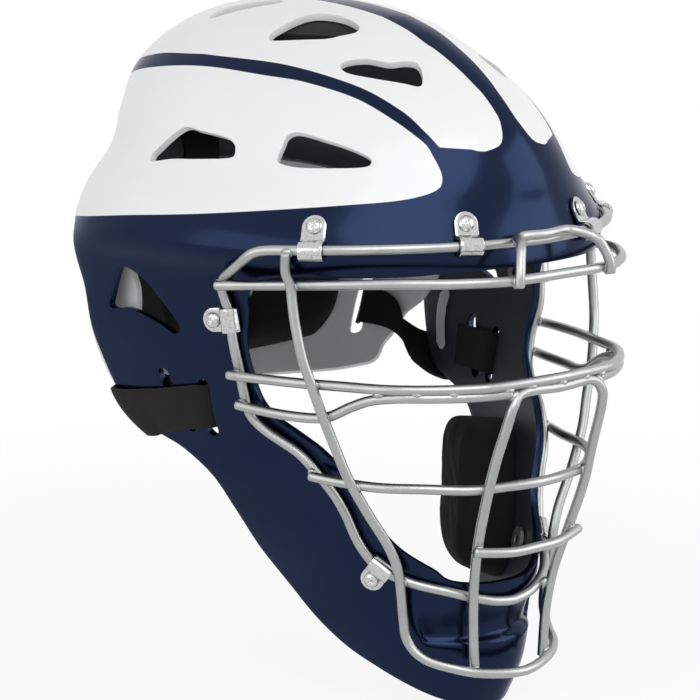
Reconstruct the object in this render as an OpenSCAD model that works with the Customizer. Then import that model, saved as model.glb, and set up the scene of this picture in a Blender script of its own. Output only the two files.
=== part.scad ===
// Catcher's helmet of the hockey type: one moulded shell with vents and a chin guard, a welded
// wire cage held by eight clips, foam pads, and a back plate that swings on a crown strap
// against two elastic side straps. Worn upright: +Z up, the face towards -Y, +X the wearer's
// left, and the origin in the middle of the head cavity at the level of the eyes.

/* [Shell] */
// Width of the shell across the brim above the ears
shell_w = 210; // [204:1:216]
// Width of the dome above the brim
dome_w = 158; // [154:1:162]
// Width across the jaw guards at mouth height
jaw_w = 160; // [156:1:164]
// Width of the chin guard
chin_w = 96; // [92:1:100]
// Height of the crown above the eyes
crown_h = 150; // [147:1:155]
// Height of the brim above the eyes
brow_h = 58; // [57:0.5:60]
// Depth of the chin guard's foot below the eyes
chin_drop = 138; // [134:1:142]
// Reach of the brow in front of the origin
brow_reach = 112; // [109:1:115]
// Reach of the chin guard in front of the origin
chin_reach = 98; // [96:1:101]
// Depth of the pressed-in panel on the chin guard
chin_recess = 4; // [3:0.5:5]
// Reach of the back of the dome behind the origin
nape_reach = 109; // [106:1:113]
// Wall of the moulded shell
shell_t = 3.2; // [2.6:0.2:3.8]

/* [Cage] */
// Diameter of the cage wire
wire_d = 4.2; // [3.6:0.2:4.8]
// Distance of the cage at the eyes in front of the brow
cage_ahead = 13.5; // [12:0.5:16]
// Height of the wire under the brow
brow_wire_z = 49; // [48:0.5:50]
// Height of the wire under the eyes
eye_wire_z = 7; // [5:0.5:9]
// Height of the wire in front of the mouth, below the eyes
mouth_wire_drop = 37; // [35:0.5:39]
// Height of the short wire above the chin, below the eyes
chin_wire_drop = 65.5; // [63:0.5:68]
// Spacing of the two centre bars at the mouth
bar_gap = 56.6; // [54:0.2:60]

/* [Clips] */
// Width of a cage clip
clip_w = 9.8; // [9:0.2:11]
// Sheet of a cage clip
clip_t = 1.2; // [1:0.1:1.4]
// Distance from the cage wire to the clip's screw
clip_reach = 8.6; // [8.2:0.1:9.4]
// Diameter of the truss head of a clip screw
head_d = 6.6; // [6:0.2:7.4]
// Diameter of the clip screw's shank
screw_d = 3.6; // [3:0.2:4]
// Diameter of a T-nut's flange inside the shell
nut_d = 11; // [10:0.5:13]

/* [Pads] */
// Thickness of the liner pads in the dome
liner_t = 13; // [10:1:15]
// Thickness of a jaw pad
jaw_pad_t = 24; // [18:1:26]
// Thickness of the pad on the back plate
back_pad_t = 12; // [9:1:15]

/* [Straps and back plate] */
// Wall of the back plate
plate_t = 2.6; // [2.2:0.2:3.2]
// Height of the back plate's foot below the eyes
plate_drop = 35; // [30:1:38]
// Width of the elastic webbing
strap_w = 18; // [16:1:20]
// Thickness of the elastic webbing
strap_t = 1.6; // [1.2:0.2:1.8]

/* [Hidden] */

$fn = 32;
// Clearance between a laid-on piece and its seat
seat = 0.3;
// Clearance between a pad and the faceted wall that it is glued to
pad_seat = 0.7;
// Clearance between the perimeter wire and the shell
wire_seat = 0.6;
// Depth of a weld where two wires cross
weld = 0.8;
wire_r = wire_d / 2;
// Distance of the perimeter wire's centre line from the shell
wire_off = wire_r + wire_seat;
// Distance between the centre lines of two wires that are welded where they cross
wire_step = wire_d - weld;
// Reach of the cage in front of the origin at the eyes
cage_reach = brow_reach + cage_ahead;
// Clearance under a clip's tab and over a T-nut's flange
clip_seat = 0.5;
// Hole in the shell for a T-nut's barrel
nut_bore = screw_d + 2.6;
// Play between the back plate and the shell round it
plate_gap = 6;
// Strap slots in each side of the shell, as [y, z] of their ends, and their half width
slot_r = strap_t / 2 + 2;
front_slot = [[-5.8, -2.8], [-6, -4 - strap_w]];
rear_slot = [[14.5, -0.5], [5, -3.5 - strap_w]];
SHELL = "midnightblue";
STEEL = "silver";
CHROME = "gainsboro";
BLACK = "dimgray";
GREY = "darkgray";

// Rings of the shell from the chin's foot to the crown. Each has its height, its half width,
// the y of its widest point, its front and its back, and the roundness of its front and back.
rings = [
    [-chin_drop, chin_w / 2 - 22, -55, 10 - chin_reach, -10, 2, 2],
    [16 - chin_drop, chin_w / 2 - 10, -35, 4 - chin_reach, 10, 2.1, 2.1],
    [-105, chin_w / 2, -15, 2 - chin_reach, 40, 2.1, 2.1],
    [-88, chin_w / 2 + 7, -2, -chin_reach, 60, 2.1, 2.1],
    [-70, jaw_w / 2 - 16, 5, -chin_reach, 80, 2, 2.1],
    [-55, jaw_w / 2 - 8, 12, 1 - chin_reach, 92, 1.9, 2.1],
    [-40, jaw_w / 2, 24, -2 - chin_reach, 102, 1.9, 2.1],
    [-25, jaw_w / 2 + 6.5, 38, 4 - brow_reach, 112, 1.8, 2.1],
    [-12, jaw_w / 2 + 11, 46, 1 - brow_reach, 118, 1.82, 2.1],
    [2, shell_w / 2 - 10.5, 50, -brow_reach, 122, 1.85, 2.1],
    [16, shell_w / 2 - 7.5, 50, 4 - brow_reach, 124, 2, 2.1],
    [32, shell_w / 2 - 6.5, 48, -brow_reach, 124, 1.95, 2.1],
    [46, shell_w / 2 - 4, 48, -brow_reach - 1, nape_reach + 15, 2.1, 2.1],
    [brow_h, shell_w / 2, 22, -brow_reach, nape_reach + 11, 2.1, 2.1],
    [brow_h + 14, shell_w / 2 - 6, 20, 4 - brow_reach, nape_reach + 7, 2, 2.1],
    [brow_h + 30, dome_w / 2 + 8, 18, 6 - brow_reach, nape_reach, 1.88, 2.1],
    [crown_h - 46, dome_w / 2, 20, 14 - brow_reach, nape_reach, 1.75, 2.1],
    [crown_h - 30, dome_w / 2 - 11, 22, 30 - brow_reach, nape_reach - 1, 1.65, 2.1],
    [crown_h - 16, dome_w / 2 - 28, 24, 52 - brow_reach, nape_reach - 13, 1.6, 2.1],
    [crown_h - 5, dome_w / 2 - 48, 25, 81 - brow_reach, nape_reach - 37, 1.7, 2],
    [crown_h - 1, dome_w / 2 - 65, 25, 4, 47, 2, 2],
    [crown_h, 0, 25, 25, 25, 2, 2]
];

// Index of the ring below height z
function ring_below(z, i = 0) =
    i >= len(rings) - 2 || z < rings[i + 1][0] ? i : ring_below(z, i + 1);

// Rate of change of column k at ring i
function ring_rate(i, k) =
    let (a = max(i - 1, 0), b = min(i + 1, len(rings) - 1))
    (rings[b][k] - rings[a][k]) / (rings[b][0] - rings[a][0]);

// Column k of the rings at height z, along a smooth curve
function ring_at(z, k) =
    let (i = ring_below(z), h = rings[i + 1][0] - rings[i][0], t = (z - rings[i][0]) / h)
    (2 * t ^ 3 - 3 * t ^ 2 + 1) * rings[i][k] + (t ^ 3 - 2 * t ^ 2 + t) * h * ring_rate(i, k)
    + (3 * t ^ 2 - 2 * t ^ 3) * rings[i + 1][k] + (t ^ 3 - t ^ 2) * h * ring_rate(i + 1, k);

function ramp(from, to, v) =
    let (t = min(1, max(0, (v - from) / (to - from)))) t * t * (3 - 2 * t);

// How far the chin guard is pressed in behind the cage's lowest bar
function pressed_in(angle, z) =
    chin_recess * ramp(42, 34, abs(angle)) * ramp(-93, -101, z) * ramp(-111, -105, z);

// Point of the shell's outer surface at a ring angle, 0 at the front and 90 at the left
function shell_at(angle, z) =
    let (mid = ring_at(z, 2), s = sin(angle), c = cos(angle),
         n = ring_at(z, c > 0 ? 5 : 6), end = ring_at(z, c > 0 ? 3 : 4))
    [ring_at(z, 1) * sign(s) * abs(s) ^ (2 / n),
     mid + (end - mid) * abs(c) ^ (2 / n) + pressed_in(angle, z), z];

function unit(v) = v / norm(v);

// Outward normal of the surface
function outward(angle, z) =
    let (top = min(z + 0.4, crown_h - 0.2), low = top - 0.8)
    unit(cross(shell_at(angle + 0.8, z) - shell_at(angle - 0.8, z),
               shell_at(angle, top) - shell_at(angle, low)));

// Point at a distance off the outer surface, inwards if negative
function skin(angle, z, off) = shell_at(angle, z) + off * outward(angle, z);

// Half width of the surface at a given y and height
function side_x(y, z) =
    let (mid = ring_at(z, 2), end = ring_at(z, y < mid ? 3 : 4), n = ring_at(z, y < mid ? 5 : 6))
    ring_at(z, 1) * max(0, 1 - abs((y - mid) / (end - mid)) ^ n) ^ (1 / n);

// Smooth curve through points, with a number of steps in each span
function curve_point(p, i, t) =
    let (a = p[max(i - 1, 0)], b = p[i], c = p[i + 1], d = p[min(i + 2, len(p) - 1)])
    0.5 * (2 * b + (c - a) * t + (2 * a - 5 * b + 4 * c - d) * t ^ 2
           + (3 * b - a - 3 * c + d) * t ^ 3);
function curve(p, steps) =
    concat([for (i = [0:len(p) - 2], k = [0:steps - 1]) curve_point(p, i, k / steps)],
           [p[len(p) - 1]]);

function flip(v) = [-v[0], v[1], v[2]];
// A route from the centre line to the left end, completed with its mirror image
function both_sides(half) =
    concat([for (i = [len(half) - 1:-1:1]) flip(half[i])], half);

// Closed solid from rings of equal length, ends capped with fans unless closed on itself
module loft(loops, closed = false) {
    count = len(loops);
    side = len(loops[0]);
    last = closed ? count - 1 : count - 2;
    walls = [for (i = [0:last], k = [0:side - 1])
        let (a = i * side, b = ((i + 1) % count) * side, n = (k + 1) % side)
        each [[a + k, b + k, b + n], [a + k, b + n, a + n]]];
    caps = closed ? [] : concat([[for (k = [0:side - 1]) k]],
                                [[for (k = [side - 1:-1:0]) (count - 1) * side + k]]);
    polyhedron(points = [for (loop = loops) each loop], faces = concat(walls, caps), convexity = 6);
}

// Direction of a route at point i
function heading(p, i) = unit(p[min(i + 1, len(p) - 1)] - p[max(i - 1, 0)]);

// Frames carried along a route without twist
function carried(p, i, side) =
    i >= len(p) ? [] :
    let (t = heading(p, i), s = unit(side - (side * t) * t))
    concat([s], carried(p, i + 1, s));

// Round wire along a route
module wire(p, closed = false) {
    first = abs(heading(p, 0)[2]) < 0.9 ? [0, 0, 1] : [0, 1, 0];
    sides = carried(p, 0, first);
    loops = [for (i = [0:len(p) - 1])
        let (t = heading(p, i), s = sides[i], u = cross(t, s))
        [for (k = [0:5]) p[i] + wire_r * (cos(60 * k) * s + sin(60 * k) * u)]];
    loft(loops, closed);
}

// Shell

shell_cols = 36;

// Closed body of the surface set in by a depth, its foot lowered by a drop
module body(depth, drop) {
    levels = [for (i = [0:len(rings) - 2], k = [0, 0.25, 0.5, 0.75])
        if (k == 0 || i == 1 || i == 2 || k == 0.5 && (i < 4 || i > 12) && i < len(rings) - 3)
            rings[i][0] + k * (rings[i + 1][0] - rings[i][0])];
    loops = [for (z = levels)
        [for (k = [0:shell_cols - 1]) skin(360 * k / shell_cols, z, -depth)]];
    foot = [for (p = loops[0]) [p[0], p[1], p[2] - drop]];
    all = drop > 0 ? concat([foot], loops) : loops;
    tip = len(all) * shell_cols;
    side = shell_cols;
    walls = [for (i = [0:len(all) - 2], k = [0:side - 1])
        let (a = i * side, b = a + side, n = (k + 1) % side)
        each [[a + k, b + k, b + n], [a + k, b + n, a + n]]];
    cap = [for (k = [0:side - 1]) [tip - side + k, tip, tip - side + (k + 1) % side]];
    polyhedron(points = concat([for (loop = all) each loop], [[0, 25, crown_h - depth]]),
               faces = concat(walls, cap, [[for (k = [0:side - 1]) k]]), convexity = 8);
}

// Extrusion across the helmet of an outline given as [y, z]
module across(outline, half = 0) {
    rotate([90, 0, 90])
        linear_extrude(height = half > 0 ? half : 2 * shell_w, center = half == 0)
            polygon(outline);
}

// Edge of the face opening from the brow to the chin, as [y, z]
opening_edge = [[-115, brow_h - 6.5], [-104, brow_h - 7.2], [-90, brow_h - 8.8],
                [-66, brow_h - 10], [-46, brow_h - 11.5], [-36, brow_h - 17], [-31.5, 30],
                [-29.5, 8], [-31, -5], [-36, -13], [-44, -19], [-54, -27], [-61, -36.5],
                [-65, -47], [-68, -57], [-75, -67], [-85, -75.5], [-93, -81.5]];

// Rear and lower edge of the shell from the nape to the chin's foot, as [y, z]
rear_edge = [[nape_reach + 1, brow_h + 8], [92, brow_h + 5], [74, brow_h + 1], [64, 50], [60, 38],
             [57, 26], [53, 10], [49, -2], [44, -13], [36, -23], [25, -28], [12, -33], [0, -43],
             [-6, -58], [-13, -77], [-28, -98], [-43, -113], [-58, -122], [-73, -130.5],
             [-82, -135], [-90, -139.5]];

module face_opening() {
    across(concat([[-200, brow_h - 6.5]], curve(opening_edge, 2), [[-110, -83.5], [-200, -83.5]]));
}

module rear_opening() {
    across(concat([[200, brow_h + 8]], curve(rear_edge, 2), [[-96, -170], [200, -170]]));
}

// Rounded window through the side, its corners given as [y, z]
module side_window(corners, r) {
    hull() for (c = corners) translate([0, c[0], c[1]])
        rotate([0, 90, 0]) cylinder(r = r, h = 40 + shell_w / 2, $fn = 12);
}

// Rounded window through the crown, its corners given as [x, y] about a tilted place
module crown_window(place, tilt, corners, r) {
    translate(place) rotate(tilt) hull() for (c = corners) translate([c[0], c[1], -14])
        cylinder(r = r, h = 40, $fn = 12);
}

module windows() {
    for (turn = [0, 1]) mirror([turn, 0, 0]) {
        side_window([[21, 90], [13, 97.5], [-9, 96.5], [-14.5, 94.5], [9, 90.5]], 2.5);
        side_window([[-43.5, 93.5], [-41, 100], [-45, 100.5], [-63, 95.5], [-68, 93.2]], 2.4);
        crown_window([30, -14, crown_h - 8], [12, 22, 0],
                     [[11, 13], [-5, 10], [-9, -5], [-7, -13], [4, -4]], 2.4);
        crown_window([28, -52, crown_h - 26], [33, 23, 0],
                     [[9, 15], [9, 11], [-3, -15.5], [-8, -11], [-6, -6], [-2, -1]], 2.2);
        crown_window([27, 39, crown_h - 7], [-8, 20, 0],
                     [[8.5, 8], [1, 10.5], [-9, -7], [-4.5, -11]], 2.2);
        side_window([[28, 41], [18, 37.5], [8, 28], [3, 21.5], [12, 24.5]], 2.2);
        side_window([[28, 41], [36, 32], [38.5, 27.5], [28, 27.5], [12, 24.5]], 2.2);
        side_window(front_slot, slot_r);
        side_window(rear_slot, slot_r);
    }
}

// Where a clip holds the perimeter wire: ring angle, height, and the way to its screw,
// which is 0 for rearwards and 90 for up
clip_spots = [[17.5, brow_h + 2.7, 84], [49.2, brow_h + 1.6, 90], [61.8, 27.8, -7],
              [45, -74.2, -42]];

// Ring angle and height of a clip's screw
function screw_spot(spot) =
    let (mm = norm(shell_at(spot[0] + 0.5, spot[1]) - shell_at(spot[0] - 0.5, spot[1])))
    [spot[0] + clip_reach * cos(spot[2]) / mm, spot[1] + clip_reach * sin(spot[2])];

// Frame at a clip's screw: its place, then +X along the wire, +Y away from it, +Z outwards
function clip_axes(spot, side) =
    let (screw = screw_spot(spot), at = shell_at(side * screw[0], screw[1]),
         z = outward(side * screw[0], screw[1]),
         away = at - shell_at(side * spot[0], spot[1]), y = unit(away - (away * z) * z))
    [at, cross(y, z), y, z];

module clip_frame(spot, side) {
    f = clip_axes(spot, side);
    multmatrix([for (k = [0:2]) [f[1][k], f[2][k], f[3][k], f[0][k]]]) children();
}

module outer_shell() {
    color(SHELL) render(convexity = 8) difference() {
        body(0, 0);
        body(shell_t, 6);
        face_opening();
        rear_opening();
        windows();
        for (spot = clip_spots, side = [1, -1])
            clip_frame(spot, side) translate([0, 0, -12])
                cylinder(d = nut_bore, h = 24, $fn = 12);
        rivet_holes(strap_z);
    }
}

// Cage

// The perimeter wire as [ring angle, height], from the brow to the chin
edge_route = [[0, brow_h + 2.6], [10, brow_h + 2.8], [22, brow_h + 2.7], [34, brow_h + 2.5],
              [46, brow_h + 2], [54, brow_h + 1.4], [59.5, brow_h + 0.2], [63, brow_h - 3.5],
              [64.6, 49], [63.6, 41], [62.1, 32], [61.2, 20], [60.3, 8], [60.1, -4],
              [59.8, -12], [57.6, -18.5], [53.4, -26], [50.8, -35], [48.8, -43], [48.1, -52],
              [48.3, -62], [47.4, -69.4], [44.6, -75.2], [37, -80], [28, -83], [19, -85.8],
              [9, -88.4], [0, -89.5]];
edge_half = [for (p = curve(edge_route, 2)) skin(p[0], p[1], wire_off)];

module perimeter_wire() {
    last = len(edge_half) - 1;
    color(STEEL) wire(concat(edge_half, [for (i = [last - 1:-1:1]) flip(edge_half[i])]),
                      closed = true);
}

// Point on top of the perimeter wire, where another wire is welded to it
function on_edge(angle, z) = skin(angle, z, wire_off + wire_step);

// A route moved so that it starts and ends at given points
function fitted(p, first, last) =
    [for (i = [0:len(p) - 1])
        let (t = i / (len(p) - 1)) p[i] + (1 - t) * (first - p[0]) + t * (last - p[len(p) - 1])];

// Wires that bow round the face at one height, from the centre line to their left end
brow_half = fitted([[0, -125, 0], [27, -124, 0], [44, -116, 0], [57, -104.5, 0],
                    [68.3, -90.8, -0.4], [76.3, -76, -1.4], [82.2, -60.5, -2.6], [89, -43, -4],
                    [95.5, -29, -5]],
                   [0, -cage_reach, brow_wire_z], on_edge(64, 45));
eye_half = fitted([[0, -125.5, 0], [28, -122.5, 0], [39, -118.5, 0], [53.5, -108, 0],
                   [65, -94.5, 0], [72.8, -76.5, 0], [80.4, -58.3, 0], [86.3, -37.7, 0],
                   [88.4, -26.3, 0]],
                  [0, -cage_reach, eye_wire_z], on_edge(61.6, eye_wire_z));
mouth_half = fitted([[0, -117, 0], [20, -113, 0], [33, -107.5, 0], [48, -96, 1], [59.5, -80.7, 1],
                     [66, -62, 1.5], [69.8, -50.2, 2.5]],
                    [0, 8.5 - cage_reach, -mouth_wire_drop], on_edge(51.8, 2.5 - mouth_wire_drop));
chin_half = [[0, 12.7 - cage_reach, -chin_wire_drop], [14, 13.2 - cage_reach, 0.2 - chin_wire_drop],
             [bar_gap / 2 + 2, 17.6 - cage_reach, 2 - chin_wire_drop]];

module brow_wire() {
    color(STEEL) wire(curve(both_sides(brow_half), 2));
}

module eye_wire() {
    color(STEEL) wire(curve(both_sides(eye_half), 2));
}

module mouth_wire() {
    color(STEEL) wire(curve(both_sides(mouth_half), 3));
}

module chin_wire() {
    color(STEEL) wire(curve(both_sides(chin_half), 4));
}

// Loop over the brow whose feet stand on the brow wire
loop_top = brow_h + 6;
loop_front = 0.6 - cage_reach - wire_step;
loop_half = [[0, shell_at(0, loop_top)[1] - wire_off - wire_step, loop_top],
             [14, shell_at(8, loop_top)[1] - wire_off - wire_step, loop_top],
             [20.6, loop_front + 5.2, loop_top - 2.4], [23.6, loop_front + 2.4, loop_top - 7],
             [25.6, loop_front + 0.6, brow_wire_z + 2], [25.9, loop_front + 0.6, brow_wire_z - 2.5]];
module brow_loop() {
    color(STEEL) wire(curve(both_sides(loop_half), 3));
}

// Side bars that run down from the temples and join under the chin
function spread_out(p) = [for (q = p) [q[0] * shell_w / 210, q[1], q[2]]];
side_half = concat(
    [on_edge(53.6, brow_h + 1)],
    spread_out([[88, -59.6, brow_wire_z + 2.5], [85.7, -59.8, 46], [85.2, -60.6, 38], [84.8, -62, 29], [83.4, -64.6, 16],
     [81.1, -66.7, eye_wire_z],
     [77.7, -69, -5], [72.6, -71.2, -19], [67.8, -73.4, -32], [59, -75.8, -48],
     [50, -77.6, -62], [45.2, -78.9, -73], [43.2, -79, -84], [41.2, -78.2, -95],
     [39.6, -79, -104.5], [36, -85, -111.5], [29, -95.5, -114.8], [18, -102.5, -117.5],
     [0, -107, -119]]));

module side_bars() {
    color(STEEL) wire(curve(both_sides([for (i = [len(side_half) - 1:-1:0]) side_half[i]]), 2));
}

// Cheek wire from the perimeter wire forwards and up under the eye wire to the centre bars
cheek_route = [[25, 2.5 - cage_reach, eye_wire_z - wire_step - 0.4],
               [39, 7.5 - cage_reach, eye_wire_z - wire_step - 0.4],
               [53, -108, eye_wire_z - wire_step - 0.4], [61, -98.8, eye_wire_z - wire_step - 0.6],
               [65.6, -89, 1.4], [68.6, -81, -2], [71.2, -73, -6.4], [72.8, -66, -8.2],
               [77.2, -54, -8.2], [80, -40, -7.6], [81.7, -30, -6.8]];
cheek_half = fitted(cheek_route, cheek_route[0], on_edge(61, -6.6));
module cheek_wire(side) {
    smooth = curve(cheek_half, 3);
    color(STEEL) wire(side > 0 ? smooth : [for (p = smooth) flip(p)]);
}
module cheek_wire_right() { cheek_wire(-1); }
module cheek_wire_left() { cheek_wire(1); }

// Centre bars, joined across the top under the eye wire and open at the bottom
bar_x = bar_gap / 2;
centre_half = [[0, -cage_reach, eye_wire_z - wire_step - 0.4],
               [bar_x - 9, 1.5 - cage_reach, eye_wire_z - wire_step - 0.4],
               [bar_x - 3, 1 - cage_reach, -1.5], [bar_x - 1.4, 2.6 - cage_reach, -9],
               [bar_x - 0.4, 8 - cage_reach, -25], [bar_x, 12.8 - cage_reach, -42],
               [bar_x - 1.8, 19 - cage_reach, -61], [bar_x - 5, 24.5 - cage_reach, -80],
               [bar_x - 7.2, 27 - cage_reach, -98], [bar_x - 8.6, 27.4 - cage_reach, -118.5]];
module centre_bars() {
    color(STEEL) wire(curve(both_sides(centre_half), 3));
}

// Clips, screws and T-nuts

// Clip bent round the wire, with a flat tab under its screw
module clip(wire_y, wire_z) {
    bend = wire_r + 0.7;
    difference() {
        union() {
            rotate([90, 0, 90]) translate([0, 0, -clip_w / 2]) linear_extrude(height = clip_w)
                difference() {
                    translate([wire_y, wire_z]) circle(r = bend + clip_t, $fn = 12);
                    translate([wire_y, wire_z]) circle(r = bend, $fn = 12);
                    translate([2 * wire_y, clip_seat - 10]) square([-3 * wire_y, 10]);
                }
            difference() {
                translate([0, 0, clip_seat]) hull() {
                    cylinder(d = clip_w, h = clip_t, $fn = 24);
                    translate([-clip_w / 2, wire_y, 0]) cube([clip_w, 1, clip_t]);
                }
                translate([-clip_w, wire_y, wire_z]) rotate([0, 90, 0])
                    cylinder(r = bend, h = 2 * clip_w, $fn = 12);
            }
        }
        translate([0, 0, -1]) cylinder(d = screw_d + 0.4, h = 6, $fn = 12);
    }
}

module clips(which) {
    color(CHROME) for (k = which, side = [1, -1]) {
        f = clip_axes(clip_spots[k], side);
        on_wire = skin(side * clip_spots[k][0], clip_spots[k][1], wire_off) - f[0];
        clip_frame(clip_spots[k], side) clip(on_wire * f[2], on_wire * f[3]);
    }
}
module brow_clips() { clips([0, 1]); }
module temple_clips() { clips([2]); }
module chin_clips() { clips([3]); }

// Truss-head screw with a cross recess
screw_len = clip_seat + shell_t + 4;
module screw() {
    seat_z = clip_seat + clip_t + seat;
    difference() {
        union() {
            translate([0, 0, seat_z]) cylinder(d = head_d, h = 0.8, $fn = 12);
            translate([0, 0, seat_z + 0.8])
                cylinder(d1 = head_d, d2 = 0.6 * head_d, h = 1.1, $fn = 12);
            translate([0, 0, seat_z - screw_len])
                cylinder(d = screw_d, h = screw_len + 0.2, $fn = 12);
        }
        for (a = [0, 90]) rotate(a + 20)
            translate([-1.9, -0.45, seat_z + 0.9]) cube([3.8, 0.9, 2]);
    }
}
module cage_screws() {
    color(CHROME) for (spot = clip_spots, side = [1, -1]) clip_frame(spot, side) screw();
}

// T-nut with its flange inside the shell and its barrel in the wall
module clip_nut() {
    difference() {
        union() {
            translate([0, 0, -shell_t - 2 * clip_seat - 1.5])
                cylinder(d = nut_d, h = 1.3, $fn = 12);
            translate([0, 0, -shell_t - 2 * clip_seat - 0.4])
                cylinder(d = nut_bore - 0.6, h = shell_t + 2 * clip_seat, $fn = 12);
        }
        translate([0, 0, -shell_t - 3])
            cylinder(d = screw_d + 0.3, h = shell_t + 4, $fn = 12);
    }
}
module clip_nuts() {
    color(STEEL) for (spot = clip_spots, side = [1, -1]) clip_frame(spot, side) clip_nut();
}

// Pads

// Height of a crowned pad over its seat at u and v from 0 to 1, with channels across u
function crowned(u, v, channels) =
    let (edge = (1 - abs(2 * u - 1) ^ 6) ^ 0.4 * (1 - abs(2 * v - 1) ^ 6) ^ 0.4,
         groove = channels == 0 ? 1 : 1 - 0.38 * max([for (k = [1:channels])
             ramp(0.09, 0, abs(u - k / (channels + 1)))]))
    (0.22 + 0.78 * edge) * groove;

// Crowned pad on a surface set in by a depth, over a range of angles and heights, with
// sides that draw in between its corners
module lining(angles, heights, depth, thick, cols = 10, rows = 6, channels = 0, round = 8) {
    function spot(i, k) =
        let (u = i / cols, v = k / rows, pull = 0.03 * sin(180 * v), lift = 0.05 * sin(180 * u),
             bend = round / (heights[1] - heights[0]) * (abs(2 * u - 1) ^ 5),
             w = 0.5 + (v - 0.5) * (1 - lift - 2 * bend))
        [angles[0] + (angles[1] - angles[0]) * (0.5 + (u - 0.5) * (1 - 2 * pull)),
         heights[0] + (heights[1] - heights[0]) * w];
    seat_side = [for (i = [0:cols], k = [0:rows])
        let (p = spot(i, k)) skin(p[0], p[1], -depth)];
    face_side = [for (i = [0:cols], k = [0:rows])
        let (p = spot(i, k))
        skin(p[0], p[1], -depth - thick * crowned(i / cols, k / rows, channels))];
    n = (cols + 1) * (rows + 1);
    quads = [for (i = [0:cols - 1], k = [0:rows - 1])
        let (a = i * (rows + 1) + k, b = a + rows + 1)
        each [[a, b, b + 1], [a, b + 1, a + 1], [n + a, n + b + 1, n + b],
              [n + a, n + a + 1, n + b + 1]]];
    rim = concat([for (i = [0:cols - 1]) i * (rows + 1)],
                 [for (k = [0:rows - 1]) cols * (rows + 1) + k],
                 [for (i = [cols:-1:1]) i * (rows + 1) + rows],
                 [for (k = [rows:-1:1]) k]);
    walls = [for (i = [0:len(rim) - 1]) let (a = rim[i], b = rim[(i + 1) % len(rim)])
        each [[a, n + a, n + b], [a, n + b, b]]];
    polyhedron(points = concat(seat_side, face_side), faces = concat(quads, walls),
               convexity = 6);
}

lining_depth = shell_t + pad_seat;

module forehead_pad() {
    color(BLACK) lining([-38, 38], [brow_h + 20, brow_h + 50], lining_depth, liner_t,
                        cols = 16, rows = 6, channels = 3);
}

module side_pad(side) {
    mirror([side < 0 ? 1 : 0, 0, 0])
        color(BLACK) lining([76, 124], [brow_h + 2, brow_h + 27], lining_depth, liner_t,
                            channels = 1);
}
module side_pad_right() { side_pad(-1); }
module side_pad_left() { side_pad(1); }

module nape_pad() {
    color(BLACK) lining([150, 210], [brow_h + 46, brow_h + 68], lining_depth, liner_t,
                        channels = 1);
}

module jaw_pad(side) {
    mirror([side < 0 ? 1 : 0, 0, 0])
        color(BLACK) lining([56, 78], [-100, -38], lining_depth, jaw_pad_t, cols = 8, rows = 9,
                            round = 5);
}
module jaw_pad_right() { jaw_pad(-1); }
module jaw_pad_left() { jaw_pad(1); }

// Round pad under the crown
module crown_pad() {
    levels = [crown_h - 2, crown_h - 4, crown_h - 6.5, crown_h - 9];
    swell = [1, 0.96, 0.8, 0.3];
    side = 24;
    depths = concat([for (i = [0:3]) lining_depth], [for (i = [3:-1:0]) lining_depth + liner_t * swell[i]]);
    loops = [for (i = [0:7])
        let (z = levels[i < 4 ? i : 7 - i]) [for (k = [0:side - 1]) skin(15 * k, z, -depths[i])]];
    top = len(loops) * side;
    walls = [for (i = [0:len(loops) - 2], k = [0:side - 1])
        let (a = i * side, b = a + side, n = (k + 1) % side)
        each [[a + k, b + n, b + k], [a + k, a + n, b + n]]];
    caps = [for (k = [0:side - 1]) let (n = (k + 1) % side)
        each [[top, n, k], [top + 1, top - side + k, top - side + n]]];
    color(BLACK) polyhedron(
        points = concat([for (loop = loops) each loop],
                        [[0, 25, crown_h - lining_depth], [0, 25, crown_h - lining_depth - liner_t]]),
        faces = concat(walls, caps), convexity = 4);
}

module edge_patch() {
    color(GREY) lining([83.2, 85.8], [-17, 11], lining_depth, 0.8, cols = 3, rows = 4, round = 3);
}

// Back plate, which hangs from the crown strap and swings about its top edge

hinge_y = nape_reach - 5;
hinge_z = brow_h + 20;
plate_depth = shell_t + plate_gap;

wing_turn = 84.4;
// Front edge of the plate's wing and its foot, as [ring angle, height] from the top round to
// the foot's middle
plate_edge = [[180, brow_h + 19], [158, brow_h + 18], [141, brow_h + 13], [124, brow_h + 4],
              [108, 55], [95, 50], [87, 43.5], [84.8, 34], [wing_turn, 24], [85.4, 14],
              [87, 5], [90, 0], [94, -3.5], [98, -9], [102, -15], [107, -20.5],
              [112, 7 - plate_drop], [120, 3.5 - plate_drop], [138, 0.5 - plate_drop],
              [180, -plate_drop]];

// Height of the plate's edge at a ring angle, over the top or under the foot
function edge_height(angle, from, step, i = 0) =
    let (a = plate_edge[from + i * step], b = plate_edge[from + (i + 1) * step])
    angle >= b[0] || b[0] == wing_turn || i > len(plate_edge) - 3
        ? b[1] + (a[1] - b[1]) * min(1, max(0, (angle - b[0]) / (a[0] - b[0])))
        : edge_height(angle, from, step, i + 1);

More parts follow.
